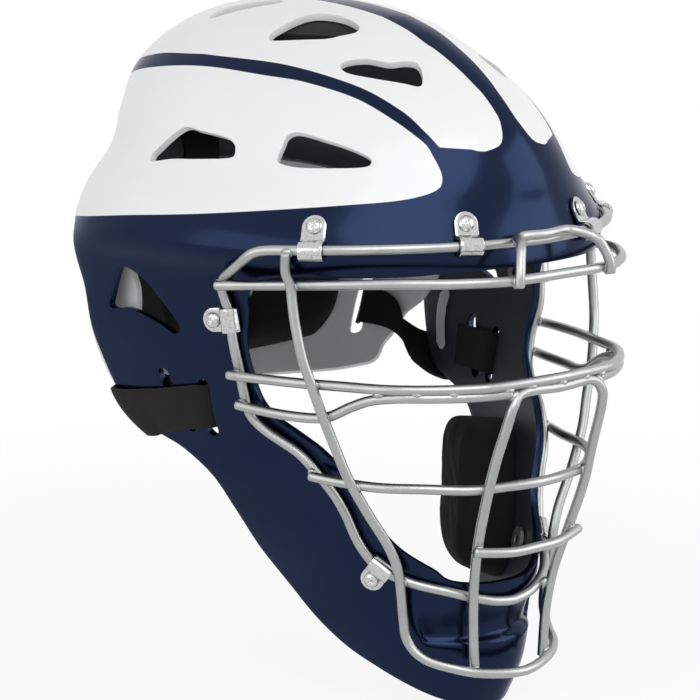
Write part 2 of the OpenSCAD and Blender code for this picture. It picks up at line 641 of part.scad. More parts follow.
// Shell-like sheet between two depths, its edges following the plate's outline
module plate_sheet(depth, thick, cols = 30, rows = 7) {
    last = len(plate_edge) - 1;
    function spot(i, k) =
        let (half = abs(1 - 2 * i / cols), lean = 1 - (1 - half) ^ 1.4,
             angle = 180 - (179.8 - wing_turn) * lean,
             top = edge_height(angle, 0, 1), foot = edge_height(angle, last, -1))
        [2 * i < cols ? angle : 360 - angle, foot + (top - foot) * k / rows];
    outside = [for (i = [0:cols], k = [0:rows]) let (p = spot(i, k)) skin(p[0], p[1], -depth)];
    inside = [for (i = [0:cols], k = [0:rows])
        let (p = spot(i, k)) skin(p[0], p[1], -depth - thick)];
    n = (cols + 1) * (rows + 1);
    quads = [for (i = [0:cols - 1], k = [0:rows - 1])
        let (a = i * (rows + 1) + k, b = a + rows + 1)
        each [[a, b, b + 1], [a, b + 1, a + 1], [n + a, n + b + 1, n + b],
              [n + a, n + a + 1, n + b + 1]]];
    rim = concat([for (i = [0:cols - 1]) i * (rows + 1)],
                 [for (k = [0:rows - 1]) cols * (rows + 1) + k],
                 [for (i = [cols:-1:1]) i * (rows + 1) + rows],
                 [for (k = [rows:-1:1]) k]);
    walls = [for (i = [0:len(rim) - 1]) let (a = rim[i], b = rim[(i + 1) % len(rim)])
        each [[a, n + a, n + b], [a, n + b, b]]];
    polyhedron(points = concat(outside, inside), faces = concat(quads, walls), convexity = 6);
}

// Slot through the plate's wing for the side strap, as [y, z] of its ends
plate_slot = [[76.5, 10.5], [76, 3.5 - strap_w]];

module back_plate() {
    color(GREY) difference() {
        plate_sheet(plate_depth, plate_t);
        for (side = [0, 1]) mirror([side, 0, 0]) side_window(plate_slot, slot_r + 0.4);
        rivet_holes(rivet_drop);
    }
}

module back_pad() {
    color(BLACK) lining([125, 235], [-22, 36], plate_depth + plate_t + pad_seat, back_pad_t,
                        cols = 16, rows = 7, channels = 2, round = 14);
}

// Straps

// Flat band along a route of [ring angle, distance of its centre off the shell, rise], between two
// heights, its foot turned so that it stands upright in front and folds along the rear edge
module band(route, top, foot) {
    function flat(p) = [p[0] * ring_mm, p[1]];
    flats = [for (p = route) flat(p)];
    middle = (top + foot) / 2;
    loops = [for (i = [0:len(route) - 1])
        let (t = heading(flats, i), n = [-t[1], t[0]] * strap_t / 2)
        let (a = route[i][0], pull = ramp(76, 92, a) * ramp(113, 99, a),
             rise = route[i][2])
        [for (e = [[top, 0.1, 1, -2.6, -1.2], [middle, 0.6, 1, -2.6, 0.1],
                   [foot, 1.6, 1, -5, 2.6], [foot, 1.6, -1, -5, 2.6],
                   [middle, 0.6, -1, -2.6, 0.1], [top, 0.1, -1, -2.6, -1.2]])
            skin(a + e[1] * ramp(93, 78, a) + e[3] * pull + e[4] * ramp(105, 112, a)
                   + e[2] * n[0] / ring_mm,
                  e[0] + rise, route[i][1] + e[2] * n[1])]];
    loft(loops);
}

// Side strap: from the plate's slot along the inside of its wing, out round the shell's rear
// edge, forward on the outside, in through the front slot and back to the rear slot
ring_mm = shell_w / 140;
lie = pad_seat + strap_t / 2;
// Slack of a side strap off the plate's wing
strap_slack = 0.8;
wing_lie = -plate_depth - plate_t - lie - strap_slack;
strap_rise = 13;
strap_route = [[116.7, 0.2 - plate_depth, strap_rise],
               [115.4, -plate_depth - plate_t / 2, strap_rise],
               [114.5, -plate_depth - plate_t - 0.4, strap_rise], [113.2, wing_lie, strap_rise],
               [106, wing_lie, strap_rise - 1], [101, wing_lie, strap_rise - 3.5],
               [98, wing_lie, strap_rise - 6.5], [96.5, wing_lie, strap_rise - 10],
               [95.4, wing_lie + 0.3, 0.5], [94.4, -plate_depth - 0.8, -1.5], [93.9, -6, -2.8],
               [93.4, -2.6, -3.2], [92.6, lie, -3.4], [90.5, lie + 0.7, -3.2],
               [87, lie + 0.5, -2.6], [82, lie, -1.3], [77, lie, 0.4], [71.8, lie, 3],
               [69.6, lie - 0.2, 4], [68.2, lie - 1.2, 4], [67.4, -shell_t / 2, 4],
               [67.2, -shell_t, 4], [67.8, -shell_t - 1.4, 4], [69.4, -shell_t - 1.8, 4],
               [72.2, -shell_t - lie, 4], [76, -shell_t - lie, 4],
               [78.8, -shell_t - lie, 4]];
strap_head = -7;

module side_strap(side) {
    mirror([side < 0 ? 1 : 0, 0, 0]) color(BLACK)
        band(strap_route, strap_head, strap_head - strap_w);
}
module side_strap_right() { side_strap(-1); }
module side_strap_left() { side_strap(1); }

// Crown strap from the inside of the dome down over the plate's top edge
rivet_turn = 3.6;
rivet_d = 3;
rivet_drop = brow_h + 12;
strap_top = brow_h + 39;
strap_z = strap_top - 5;
strap_foot = brow_h + 6;
strap_turn = 6.4;
module crown_strap() {
    over_plate = plate_gap + plate_t + lie + 0.3;
    route = [[strap_top, lie], [brow_h + 31, lie + 0.6], [brow_h + 25, over_plate - 1.5],
             [brow_h + 20, over_plate], [rivet_drop, over_plate], [strap_foot, over_plate]];
    difference() {
        color(BLACK) loft([for (p = route)
            [for (c = [[1, 1], [-1, 1], [-1, -1], [1, -1]])
                skin(180 + c[0] * strap_turn, p[0], -shell_t - p[1] + c[1] * strap_t / 2)]]);
        rivet_holes(rivet_drop);
        rivet_holes(strap_z);
    }
}

// Places children at both rivets of one height, with +Z outwards
module rivet_frame(height) {
    for (side = [1, -1]) {
        at = shell_at(180 + side * rivet_turn, height);
        z = outward(180, height);
        x = [1, 0, 0];
        y = cross(z, x);
        multmatrix([for (k = [0:2]) [x[k], y[k], z[k], at[k]]]) children();
    }
}

module rivet_holes(height) {
    rivet_frame(height) translate([0, 0, -20]) cylinder(d = rivet_d + 0.4, h = 30, $fn = 12);
}

// Rivet between two depths under the shell's outer surface, its heads proud of them
module rivet(deep, shallow) {
    translate([0, 0, -deep - 0.3]) cylinder(d = rivet_d, h = deep - shallow + 0.6, $fn = 12);
    translate([0, 0, -deep - 1])
        cylinder(d1 = rivet_d + 1.4, d2 = rivet_d + 3, h = 0.8, $fn = 12);
    translate([0, 0, 0.25 - shallow])
        cylinder(d1 = rivet_d + 3, d2 = rivet_d + 1.8, h = 0.6, $fn = 12);
}

module strap_rivets() {
    color(STEEL) rivet_frame(strap_z) rivet(shell_t + lie + strap_t / 2 + 0.6, 0);
}

module plate_rivets() {
    color(STEEL) rivet_frame(rivet_drop)
        rivet(plate_depth + plate_t + lie + strap_t / 2 + 0.9, plate_depth);
}

outer_shell();
perimeter_wire();
brow_wire();
brow_loop();
side_bars();
eye_wire();
cheek_wire_right();
cheek_wire_left();
centre_bars();
mouth_wire();
chin_wire();
brow_clips();
temple_clips();
chin_clips();
cage_screws();
clip_nuts();
forehead_pad();
crown_pad();
side_pad_right();
side_pad_left();
nape_pad();
jaw_pad_right();
jaw_pad_left();
edge_patch();
side_strap_right();
side_strap_left();
crown_strap();
strap_rivets();
back_plate();
back_pad();
plate_rivets();
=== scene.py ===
import math

import bmesh
import bpy
import numpy as np
from mathutils import Matrix, Vector, geometry, noise


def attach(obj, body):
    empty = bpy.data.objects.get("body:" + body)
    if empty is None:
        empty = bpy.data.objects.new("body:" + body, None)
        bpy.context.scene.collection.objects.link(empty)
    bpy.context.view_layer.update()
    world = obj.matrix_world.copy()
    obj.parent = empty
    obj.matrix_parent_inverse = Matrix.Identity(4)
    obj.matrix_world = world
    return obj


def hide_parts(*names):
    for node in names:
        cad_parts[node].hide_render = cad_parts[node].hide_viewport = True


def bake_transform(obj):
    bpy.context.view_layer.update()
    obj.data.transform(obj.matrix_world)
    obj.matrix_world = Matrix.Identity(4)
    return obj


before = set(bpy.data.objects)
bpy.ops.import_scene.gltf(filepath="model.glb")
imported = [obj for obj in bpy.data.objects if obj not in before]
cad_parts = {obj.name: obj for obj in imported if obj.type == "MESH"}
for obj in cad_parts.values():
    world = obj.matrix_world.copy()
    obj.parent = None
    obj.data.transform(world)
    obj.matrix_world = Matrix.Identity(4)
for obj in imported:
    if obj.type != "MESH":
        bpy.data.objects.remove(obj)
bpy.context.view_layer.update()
scene = bpy.context.scene
scene.view_settings.view_transform = "Standard"
mm = 0.001

camera = {"place": (-0.866, -0.961, 0.2515), "aim": (0, 0, 0), "lens": 157.7, "sensor": 36,
          "seesTo": 20}


def addCamera():
    cam = bpy.data.objects.new("photoCamera", bpy.data.cameras.new("photoCamera"))
    cam.data.lens, cam.data.sensor_width = camera["lens"], camera["sensor"]
    cam.data.clip_end = camera["seesTo"]
    cam.location = camera["place"]
    cam.rotation_euler = (Vector(camera["aim"]) - cam.location).to_track_quat("-Z", "Y").to_euler()
    scene.collection.objects.link(cam)
    scene.camera = cam


addCamera()
print("camera ready")

# Outer skin of the shell, all in mm: height, half width, y of the widest point, front, back,
# roundness of the front and of the back
rings = np.array([
    [-138, 26, -55, -88, -10, 2, 2], [-122, 38, -35, -94, 10, 2.1, 2.1],
    [-105, 48, -15, -96, 40, 2.1, 2.1], [-88, 55, -2, -98, 60, 2.1, 2.1],
    [-70, 64, 5, -98, 80, 2, 2.1], [-55, 72, 12, -97, 92, 1.9, 2.1],
    [-40, 80, 24, -100, 102, 1.9, 2.1], [-25, 86.5, 38, -108, 112, 1.8, 2.1],
    [-12, 91, 46, -111, 118, 1.82, 2.1], [2, 94.5, 50, -112, 122, 1.85, 2.1],
    [16, 97.5, 50, -108, 124, 2, 2.1], [32, 98.5, 48, -112, 124, 1.95, 2.1],
    [46, 101, 48, -113, 124, 2.1, 2.1], [58, 105, 22, -112, 120, 2.1, 2.1],
    [72, 99, 20, -108, 116, 2, 2.1], [88, 87, 18, -106, 109, 1.88, 2.1],
    [104, 79, 20, -98, 109, 1.75, 2.1], [120, 68, 22, -82, 108, 1.65, 2.1],
    [134, 51, 24, -60, 96, 1.6, 2.1], [145, 31, 25, -31, 72, 1.7, 2],
    [149, 14, 25, 4, 47, 2, 2], [150, 0, 25, 25, 25, 2, 2]])
colWidth, colMiddle, colFront, colBack, colFrontRound, colBackRound = range(1, 7)
helmet = {"wall": 3.2, "crownHeight": 150, "chinFoot": -138, "edgeRound": 1.0,
          "meshStep": 2.6, "edgeStep": 2.0, "ventStep": 1.3, "slotStep": 1.1}
# Recess pressed into the chin guard, and the finer points round its ledge
chinRecess = {"deep": 4, "sides": (40, 35.5), "top": (-84, -103), "foot": (-108.5, -105)}
chinLedge = {"turns": 44, "foot": -112, "top": -90,
             "rows": (-111.4, -90.5, 1.1), "along": (0, 43.4, 1.3)}
# Height of a row of points and clearance of the cut edges, as shares of a sheet's step
rowShare, edgeShare = 0.87, 0.62
# Crown above the last full ring: heights, and the squares of its half width and of its reach
crownCap = {"heights": [134, 140, 145, 149, 150], "side": [2601, 1740, 961, 196, 0],
            "front": [7056, 5180, 3136, 640, 0], "back": [5184, 3760, 2209, 484, 0]}


def ringAt(z, col):
    z = np.clip(np.asarray(z, float), rings[0, 0], rings[-1, 0])
    heights, values = rings[:, 0], rings[:, col]
    i = np.clip(np.searchsorted(heights, z, side="right") - 1, 0, len(rings) - 2)
    low, high = np.maximum(i - 1, 0), np.minimum(i + 2, len(rings) - 1)
    h = heights[i + 1] - heights[i]
    t = (z - heights[i]) / h
    startRate = (values[i + 1] - values[low]) / (heights[i + 1] - heights[low])
    endRate = (values[high] - values[i]) / (heights[high] - heights[i])
    return ((2 * t**3 - 3 * t**2 + 1) * values[i] + (t**3 - 2 * t**2 + t) * h * startRate
            + (3 * t**2 - 2 * t**3) * values[i + 1] + (t**3 - t**2) * h * endRate)


def capAt(z, way):
    return np.sqrt(np.interp(z, crownCap["heights"], crownCap[way]))


def widthAt(z):
    z = np.asarray(z, float)
    return np.where(z > crownCap["heights"][0], capAt(z, "side"), ringAt(z, colWidth))


def reachAt(z, col):
    z = np.asarray(z, float)
    cap = capAt(z, "back") if col == colBack else -capAt(z, "front")
    return np.where(z > crownCap["heights"][0], ringAt(z, colMiddle) + cap, ringAt(z, col))


def ramp(start, end, v):
    t = np.clip((np.asarray(v, float) - start) / (end - start), 0, 1)
    return t * t * (3 - 2 * t)


def offFront(angle):  # degrees away from the front, to either side
    return abs((angle + 180) % 360 - 180)


def shellAt(angle, z):  # ring angle 0 at the front, 90 at the left
    angle, z = np.broadcast_arrays(np.asarray(angle, float), np.asarray(z, float))
    s, c = np.sin(np.radians(angle)), np.cos(np.radians(angle))
    mid = ringAt(z, colMiddle)
    n = np.where(c > 0, ringAt(z, colFrontRound), ringAt(z, colBackRound))
    end = np.where(c > 0, reachAt(z, colFront), reachAt(z, colBack))
    pressed = (chinRecess["deep"] * ramp(*chinRecess["sides"], offFront(angle))
               * ramp(*chinRecess["top"], z) * ramp(*chinRecess["foot"], z))
    return np.stack([widthAt(z) * np.sign(s) * abs(s) ** (2 / n),
                     mid + (end - mid) * abs(c) ** (2 / n) + pressed, z], axis=-1)


def unit(v):
    return v / np.linalg.norm(v, axis=-1, keepdims=True)


def outward(angle, z):
    top = np.minimum(np.asarray(z, float) + 0.4, helmet["crownHeight"] - 0.2)
    return unit(np.cross(shellAt(angle + 0.8, z) - shellAt(angle - 0.8, z),
                         shellAt(angle, top) - shellAt(angle, top - 0.8)))


def skin(angle, z, off):
    off = np.asarray(off, float)[..., None]
    return shellAt(angle, z) + off * outward(angle, z)


def angleOfY(y, z):  # ring angle of a point of the left side at a given y
    mid = ringAt(z, colMiddle)
    front = np.asarray(y, float) < mid
    reach = np.where(front, reachAt(z, colFront) - mid, reachAt(z, colBack) - mid)
    n = np.where(front, ringAt(z, colFrontRound), ringAt(z, colBackRound))
    c = np.clip((y - mid) / reach, 0, 1) ** (n / 2)
    return np.degrees(np.arccos(np.where(front, c, -c)))


def angleOfX(x, z, front=True):
    n = ringAt(z, colFrontRound if front else colBackRound)
    s = np.clip(np.asarray(x, float) / widthAt(z), 0, 1) ** (n / 2)
    return np.degrees(np.arcsin(s)) if front else 180 - np.degrees(np.arcsin(s))


def fromAbove(x, y):  # ring angle and height of the crown over a point of the plan
    low, high = 60.0, 149.99
    for _ in range(40):
        z = (low + high) / 2
        mid = float(ringAt(z, colMiddle))
        reach, n = (colFront, colFrontRound) if y < mid else (colBack, colBackRound)
        reach, n = float(reachAt(z, reach)) - mid, float(ringAt(z, n))
        size = (abs(x) / float(widthAt(z))) ** n + abs((y - mid) / reach) ** n
        low, high = (z, high) if size < 1 else (low, z)
    s, c = (abs(x) / float(widthAt(z))) ** (n / 2), abs((y - mid) / reach) ** (n / 2)
    return math.degrees(math.atan2(s, c if y < mid else -c)), z


def curvePoints(p, steps, closed=False):
    p = np.asarray(p, float)
    count = len(p) if closed else len(p) - 1
    out = []
    for i in range(count):
        a, b, c, d = ((p[(i + k) % len(p)] for k in (-1, 0, 1, 2)) if closed else
                      (p[max(i - 1, 0)], p[i], p[i + 1], p[min(i + 2, len(p) - 1)]))
        for t in np.arange(steps) / steps:
            out.append(0.5 * (2 * b + (c - a) * t + (2 * a - 5 * b + 4 * c - d) * t**2
                              + (3 * b - a - 3 * c + d) * t**3))
    return np.array(out if closed else out + [p[-1]])


def lengths(p):  # mm from the start of a route to each of its points
    return np.concatenate([[0], np.cumsum(np.linalg.norm(np.diff(p, axis=0), axis=1))])


def pointsAt(at, run, p):
    return np.stack([np.interp(at, run, column) for column in p.T], axis=-1)


def evenly(p, step, closed=False):  # points of a route on the skin, as angle and height, in even steps
    p = np.vstack([p, p[:1]]) if closed else np.asarray(p, float)
    run = lengths(shellAt(p[:, 0], p[:, 1]))
    out = pointsAt(np.linspace(0, run[-1], max(8, int(round(run[-1] / step))) + 1), run, p)
    return out[:-1] if closed else out


# Skin unrolled from the crown, so that it can be cut up flat
def planTable():
    z = np.concatenate([np.linspace(149.95, 149, 30), np.linspace(148.9, -138, 1500)])
    half = np.sqrt(widthAt(z) * (reachAt(z, colBack) - reachAt(z, colFront)) / 2)
    run = np.hypot(np.diff(z), np.diff(half)) / ((half[1:] + half[:-1]) / 2)
    return z, np.concatenate([[0], np.cumsum(run)])


planZ, planRun = planTable()


def plan(angle, z):
    f = np.exp(np.interp(-np.asarray(z, float), -planZ, planRun))
    f = np.where(np.asarray(z) > 149.95, np.sqrt(np.maximum(0, (150 - z) / 0.05)), f)
    a = np.radians(angle)
    return np.stack([f * np.cos(a), f * np.sin(a)], axis=-1)


def inside(points, outline):
    hit = np.zeros(len(points), bool)
    px, py = points[:, 0], points[:, 1]
    a, b = outline, np.roll(outline, -1, axis=0)
    for (x0, y0), (x1, y1) in zip(a, b):
        if y0 == y1:
            continue
        crosses = (y0 > py) != (y1 > py)
        hit ^= crosses & (px < (x1 - x0) * (py - y0) / (y1 - y0) + x0)
    return hit


def nearest(points, route):  # distance in mm to a route through 3D points
    best = np.full(len(points), 1e9)
    for a, b in zip(route[:-1], route[1:]):
        run = b - a
        t = np.clip(((points - a) @ run) / max(run @ run, 1e-9), 0, 1)
        best = np.minimum(best, np.linalg.norm(points - a - t[:, None] * run, axis=1))
    return best


# Cut edges as y and z seen from the side, their ends past the middle
faceEdge = [[-125, 51.5], [-115, 51.5], [-104, 50.8], [-90, 49.2], [-66, 48], [-46, 46.5], [-36, 41],
            [-31.5, 30], [-29.5, 8], [-31, -5], [-36, -13], [-44, -19], [-54, -27], [-61, -36.5],
            [-65, -47], [-68, -57], [-75, -67], [-85, -75.5], [-93, -81.5], [-125, -84.5]]
rearEdge = [[135, 66], [110, 66], [92, 63], [74, 59], [64, 50], [60, 38], [57, 26], [53, 10], [49, -2],
            [44, -13], [36, -23], [25, -28], [12, -33], [0, -43], [-6, -58], [-13, -77], [-28, -98],
            [-43, -113], [-58, -122], [-73, -130.5], [-82, -135], [-90, -139.5]]
sideVents = {
    "upper": [(24.6, 87), (27, 88.6), (26, 90.6), (13.6, 101), (4, 101), (-10.5, 99.4), (-16, 97.2),
              (-18, 94.4), (-17, 91.8), (-2, 90.2), (12.8, 89)],
    "front": [(-40, 91), (-37.6, 92.6), (-37.2, 98), (-37.2, 101.6), (-41, 103), (-52, 100.8),
              (-62.5, 98), (-70, 94.9), (-72, 92.7), (-70, 91), (-58, 90.2), (-47, 90)],
    "ear": [(30.6, 43.6), (24.9, 43.3), (16.9, 39), (7.3, 29.3), (1, 22.4), (1, 18.9), (4.7, 18.6),
            (10.4, 21.3), (23.3, 25.2), (31.2, 26), (37, 24.9), (41, 25.6), (40, 29), (36, 37)]}
crownVents = {
    "middle": [(43.5, -2), (42.5, 2.5), (38, 2.8), (24, -2), (19.5, -10), (18.5, -20), (19.5, -27),
               (23, -29.5), (28, -26), (34, -20)],
    "front": [(38, -37), (40, -42), (35, -53), (28, -64), (24, -69), (19.5, -65), (18, -60), (21, -56),
              (26, -52), (31, -43)],
    "rear": [(36, 49), (31, 52.5), (26, 51), (19, 41), (14.5, 31), (15, 25.5), (20, 25), (27, 33),
             (34, 43)]}
strapSlots = {"front": ([-5.8, -2.8], [-6, -22]), "rear": ([14.5, -0.5], [5, -21.5])}
slotRadius = 2.8


def fromSide(p):  # ring angle and height of points given by y and z
    return np.stack([angleOfY(p[:, 0], p[:, 1]), p[:, 1]], axis=-1)


def sideRoute(edge, steps=24):
    return fromSide(curvePoints(edge, steps))


def upright(angle, start, end, count):
    return np.stack([np.full(count, float(angle)), np.linspace(start, end, count)], axis=-1)


def slotOutline(a, b, r):
    a, b = np.array(a, float), np.array(b, float)
    along = (b - a) / np.linalg.norm(b - a)
    out = []
    for mid, start in ((a, 90), (b, -90)):
        for turn in range(start, start + 181, 30):
            t = math.radians(turn)
            out.append(mid + r * (along * math.cos(t) + np.array([-along[1], along[0]]) * math.sin(t)))
    return np.array(out)


def shellOutlines():
    step = helmet["edgeStep"]
    face = sideRoute(faceEdge)
    face = face[np.flatnonzero(face[:, 0] > 0.01)]
    face = np.vstack([[[0, face[0, 1]]], face, [[0, face[-1, 1]]]])
    rear = sideRoute(rearEdge)
    rear = rear[(rear[:, 0] < 179.99) & (rear[:, 1] > helmet["chinFoot"])]
    foot = np.stack([np.linspace(rear[-1, 0], 0, 60), np.full(60, float(helmet["chinFoot"]))], axis=-1)
    holes = []
    for outline in sideVents.values():
        p = curvePoints(outline, 8, closed=True)
        holes.append(evenly(fromSide(p), helmet["ventStep"], closed=True))
    for outline in crownVents.values():
        p = curvePoints(outline, 8, closed=True)
        holes.append(evenly(np.array([fromAbove(x, y) for x, y in p]), helmet["ventStep"], closed=True))
    for a, b in strapSlots.values():
        holes.append(evenly(fromSide(slotOutline(a, b, slotRadius)), helmet["slotStep"], closed=True))
    rear = np.vstack([[[180, rearEdge[0][1]]], rear])
    return evenly(face, step), evenly(rear, step), evenly(foot, step)[1:], holes


def shellSheet():
    step = helmet["meshStep"]
    face, rear, foot, holes = shellOutlines()
    crown = helmet["crownHeight"] - 0.001
    crownFront = evenly(upright(0, face[0, 1], crown, 200), step)
    crownRear = evenly(upright(180, crown, rearEdge[0][1], 200), step)
    chin = evenly(upright(0, helmet["chinFoot"], face[-1, 1], 60), step)
    # face from brow to chin reversed, so the outline runs round once
    outline = np.vstack([crownFront, crownRear[1:], rear[1:], foot, chin[1:-1], face[:0:-1]])
    rows = evenly(upright(90, 149.6, -137, 900), step * rowShare)[:, 1]
    coarse = spreadOver(rows, 0, 180, step)
    turns, heights = coarse.T
    away = (turns > chinLedge["turns"]) | (heights > chinLedge["top"]) | (heights < chinLedge["foot"])
    fine = spreadOver(np.arange(*chinLedge["rows"]), *chinLedge["along"])
    return cutSheet(np.vstack([coarse[away], fine]), outline, holes, step)


def spreadOver(rows, start, end, step):  # points in even steps along each height
    spread = []
    for k, z in enumerate(rows):
        fine = np.linspace(start, end, 361)
        run = lengths(shellAt(fine, z))
        count = max(2, int(round(run[-1] / step)))
        at = (np.arange(count) + (0.25 if k % 2 else 0.75)) * run[-1] / count
        spread.append(np.stack([np.interp(at, run, fine), np.full(count, z)], axis=-1))
    return np.vstack(spread)


def cutSheet(spread, outline, holes, step):
    flat = plan(spread[:, 0], spread[:, 1])
    keep = inside(flat, plan(outline[:, 0], outline[:, 1]))
    solid = shellAt(spread[:, 0], spread[:, 1])
    loops = [outline] + holes
    for loop in loops:
        route = shellAt(*np.vstack([loop, loop[:1]]).T)
        if loop is not outline:
            keep &= ~inside(flat, plan(loop[:, 0], loop[:, 1]))
        close = nearest(solid[keep], route) < edgeShare * step
        keep[np.flatnonzero(keep)[close]] = False
    points = np.vstack(loops + [spread[keep]])
    edges, first = [], 0
    for loop in loops:
        n = len(loop)
        edges += [(first + i, first + (i + 1) % n) for i in range(n)]
        first += n
    flat = plan(points[:, 0], points[:, 1])
    verts, _, faces, source, _, _ = geometry.delaunay_2d_cdt(
        [Vector(p) for p in flat], edges, [], 0, 1e-7)
    where = np.array([points[s[0]] for s in source])
    corners = np.array(faces)
    middle = np.array([list(v) for v in verts])[corners].mean(axis=1)
    keep = inside(middle, plan(outline[:, 0], outline[:, 1]))
    for loop in holes:
        keep &= ~inside(middle, plan(loop[:, 0], loop[:, 1]))
    return where, corners[keep]


def halfToWhole(solid, corners):  # left half in metres, joined with its mirror image
    bm = bmesh.new()
    verts = [bm.verts.new(p) for p in solid]
    for corner in corners:
        bm.faces.new([verts[i] for i in corner])
    bmesh.ops.delete(bm, geom=[v for v in bm.verts if not v.link_faces], context="VERTS")
    for v in bm.verts:
        if abs(v.co.x) < 1e-5:
            v.co.x = 0
    twin = bmesh.ops.duplicate(bm, geom=bm.verts[:] + bm.edges[:] + bm.faces[:])["geom"]
    bmesh.ops.scale(bm, vec=(-1, 1, 1), verts=[g for g in twin if isinstance(g, bmesh.types.BMVert)])
    bmesh.ops.remove_doubles(bm, verts=bm.verts[:], dist=1e-6)
    bmesh.ops.recalc_face_normals(bm, faces=bm.faces[:])
    rearmost = max(bm.faces, key=lambda face: face.calc_center_median().y)
    if rearmost.normal.y < 0:
        bmesh.ops.reverse_faces(bm, faces=bm.faces[:])
    return bm


def meshPiece(name, bm, *finishes, smooth=True):
    mesh = bpy.data.meshes.new(name)
    bm.to_mesh(mesh)
    bm.free()
    piece = bpy.data.objects.new(name, mesh)
    scene.collection.objects.link(piece)
    for finish in finishes:
        mesh.materials.append(finish)
    if smooth:
        mesh.shade_smooth()
    return piece


def layUv(bm, spots):  # spots: each vertex's place on the flat cloth, in mm
    layer = bm.loops.layers.uv.verify()
    for face in bm.faces:
        for loop in face.loops:
            loop[layer].uv = spots[loop.vert]


def thicken(piece, wall, offset):
    sheet = piece.modifiers.new("sheet", "SOLIDIFY")
    sheet.thickness, sheet.offset = wall * mm, offset
    return sheet


def roundEdges(piece, width, segments, degrees=30):
    soft = piece.modifiers.new("edges", "BEVEL")
    soft.limit_method, soft.angle_limit = "ANGLE", math.radians(degrees)
    soft.width, soft.segments = width * mm, segments


# White paint on the dome, as y and z seen from the side and x and z seen from the front
paint = {
    "panelLow": [(104, 57.5), (80, 58.6), (62.7, 60.8), (27.5, 65.7), (3.4, 68.4), (-17, 70.6),
                 (-48.5, 74.3), (-73, 77.2), (-84.5, 78.7), (-90.5, 80.4), (-93.9, 82.8), (-94.2, 85.6),
                 (-92.4, 89.8), (-88, 95.7), (-83, 100.8), (-69.4, 109), (-52.4, 116.4), (-31, 121.3),
                 (-13.8, 123), (15, 124.8), (41, 123.5), (71, 119.2), (92, 113.5), (105, 108.5)],
    "topLow": [(73.5, 124.4), (55, 127.4), (35.5, 128.6), (21, 129), (-16, 127.4), (-48.6, 121),
               (-69.8, 112.3), (-82.4, 103.8), (-88.4, 98.6)],
    "stripeEdge": [(17, 96.6), (14.3, 97.2), (9.7, 98.8), (7, 102), (5.3, 106), (4.4, 109), (4.4, 118),
                   (5, 121), (6.5, 134)],
    "topRear": [(104, 117.6), (92, 120.6)], "stripeHalf": 7.2, "stripeRun": (-54, 92, 3),
    "rearHeights": (133, 127, 121, 117.5), "rearHalf": 7, "panelRear": 107,
    "panelFoot": [[180, 50], [130, 50]], "seamTurn": 179.9}


def paintRoutes():
    side = sideRoute(paint["panelLow"], 6)
    panel = np.vstack([side, [[180, paint["panelRear"]]]])
    low = sideRoute(paint["topRear"] + paint["topLow"], 6)
    p = curvePoints(paint["stripeEdge"], 5)
    front = np.stack([angleOfX(p[:, 0], p[:, 1]), p[:, 1]], axis=-1)
    crown = np.array([fromAbove(paint["stripeHalf"], y) for y in np.arange(*paint["stripeRun"])])
    z = np.array(paint["rearHeights"], float)
    back = np.stack([angleOfX(paint["rearHalf"], z, front=False), z], axis=-1)
    top = np.vstack([low, front, crown, back])
    return panel, top


def paintDistance(angle, z):  # mm inside the white, negative outside
    angle = np.minimum(offFront(angle), paint["seamTurn"])  # off the seam, where inside() wavers
    panel, top = paintRoutes()
    flat, solid = plan(angle, z), shellAt(angle, z)
    ring = np.vstack([panel, paint["panelFoot"]])
    white = inside(flat, plan(ring[:, 0], ring[:, 1])) | inside(flat, plan(top[:, 0], top[:, 1]))
    far = np.minimum(nearest(solid, shellAt(panel[:, 0], panel[:, 1])),
                     nearest(solid, shellAt(*np.vstack([top, top[:1]]).T)))
    return np.where(white, far, -far)


class Value:  # a socket that Python expressions can work with
    def __init__(self, nodes, socket):
        self.nodes, self.socket = nodes, socket

    def calc(self, how, *others):
        return self.nodes.node("Math", {"operation": how}, dict(enumerate(others)))

    def __add__(self, other): return self.calc("ADD", self, other)
    def __radd__(self, other): return self.calc("ADD", other, self)
    def __sub__(self, other): return self.calc("SUBTRACT", self, other)
    def __rsub__(self, other): return self.calc("SUBTRACT", other, self)
    def __mul__(self, other): return self.calc("MULTIPLY", self, other)
    def __rmul__(self, other): return self.calc("MULTIPLY", other, self)
    def sine(self): return self.calc("SINE", self)
    def most(self, other): return self.calc("MAXIMUM", self, other)

    def between(self, low, high):  # 0 to 1 as the value goes from low to high
        return self.nodes.node("MapRange", {"interpolation_type": "SMOOTHSTEP"},
                               {0: self, 1: low, 2: high, 3: 0.0, 4: 1.0})


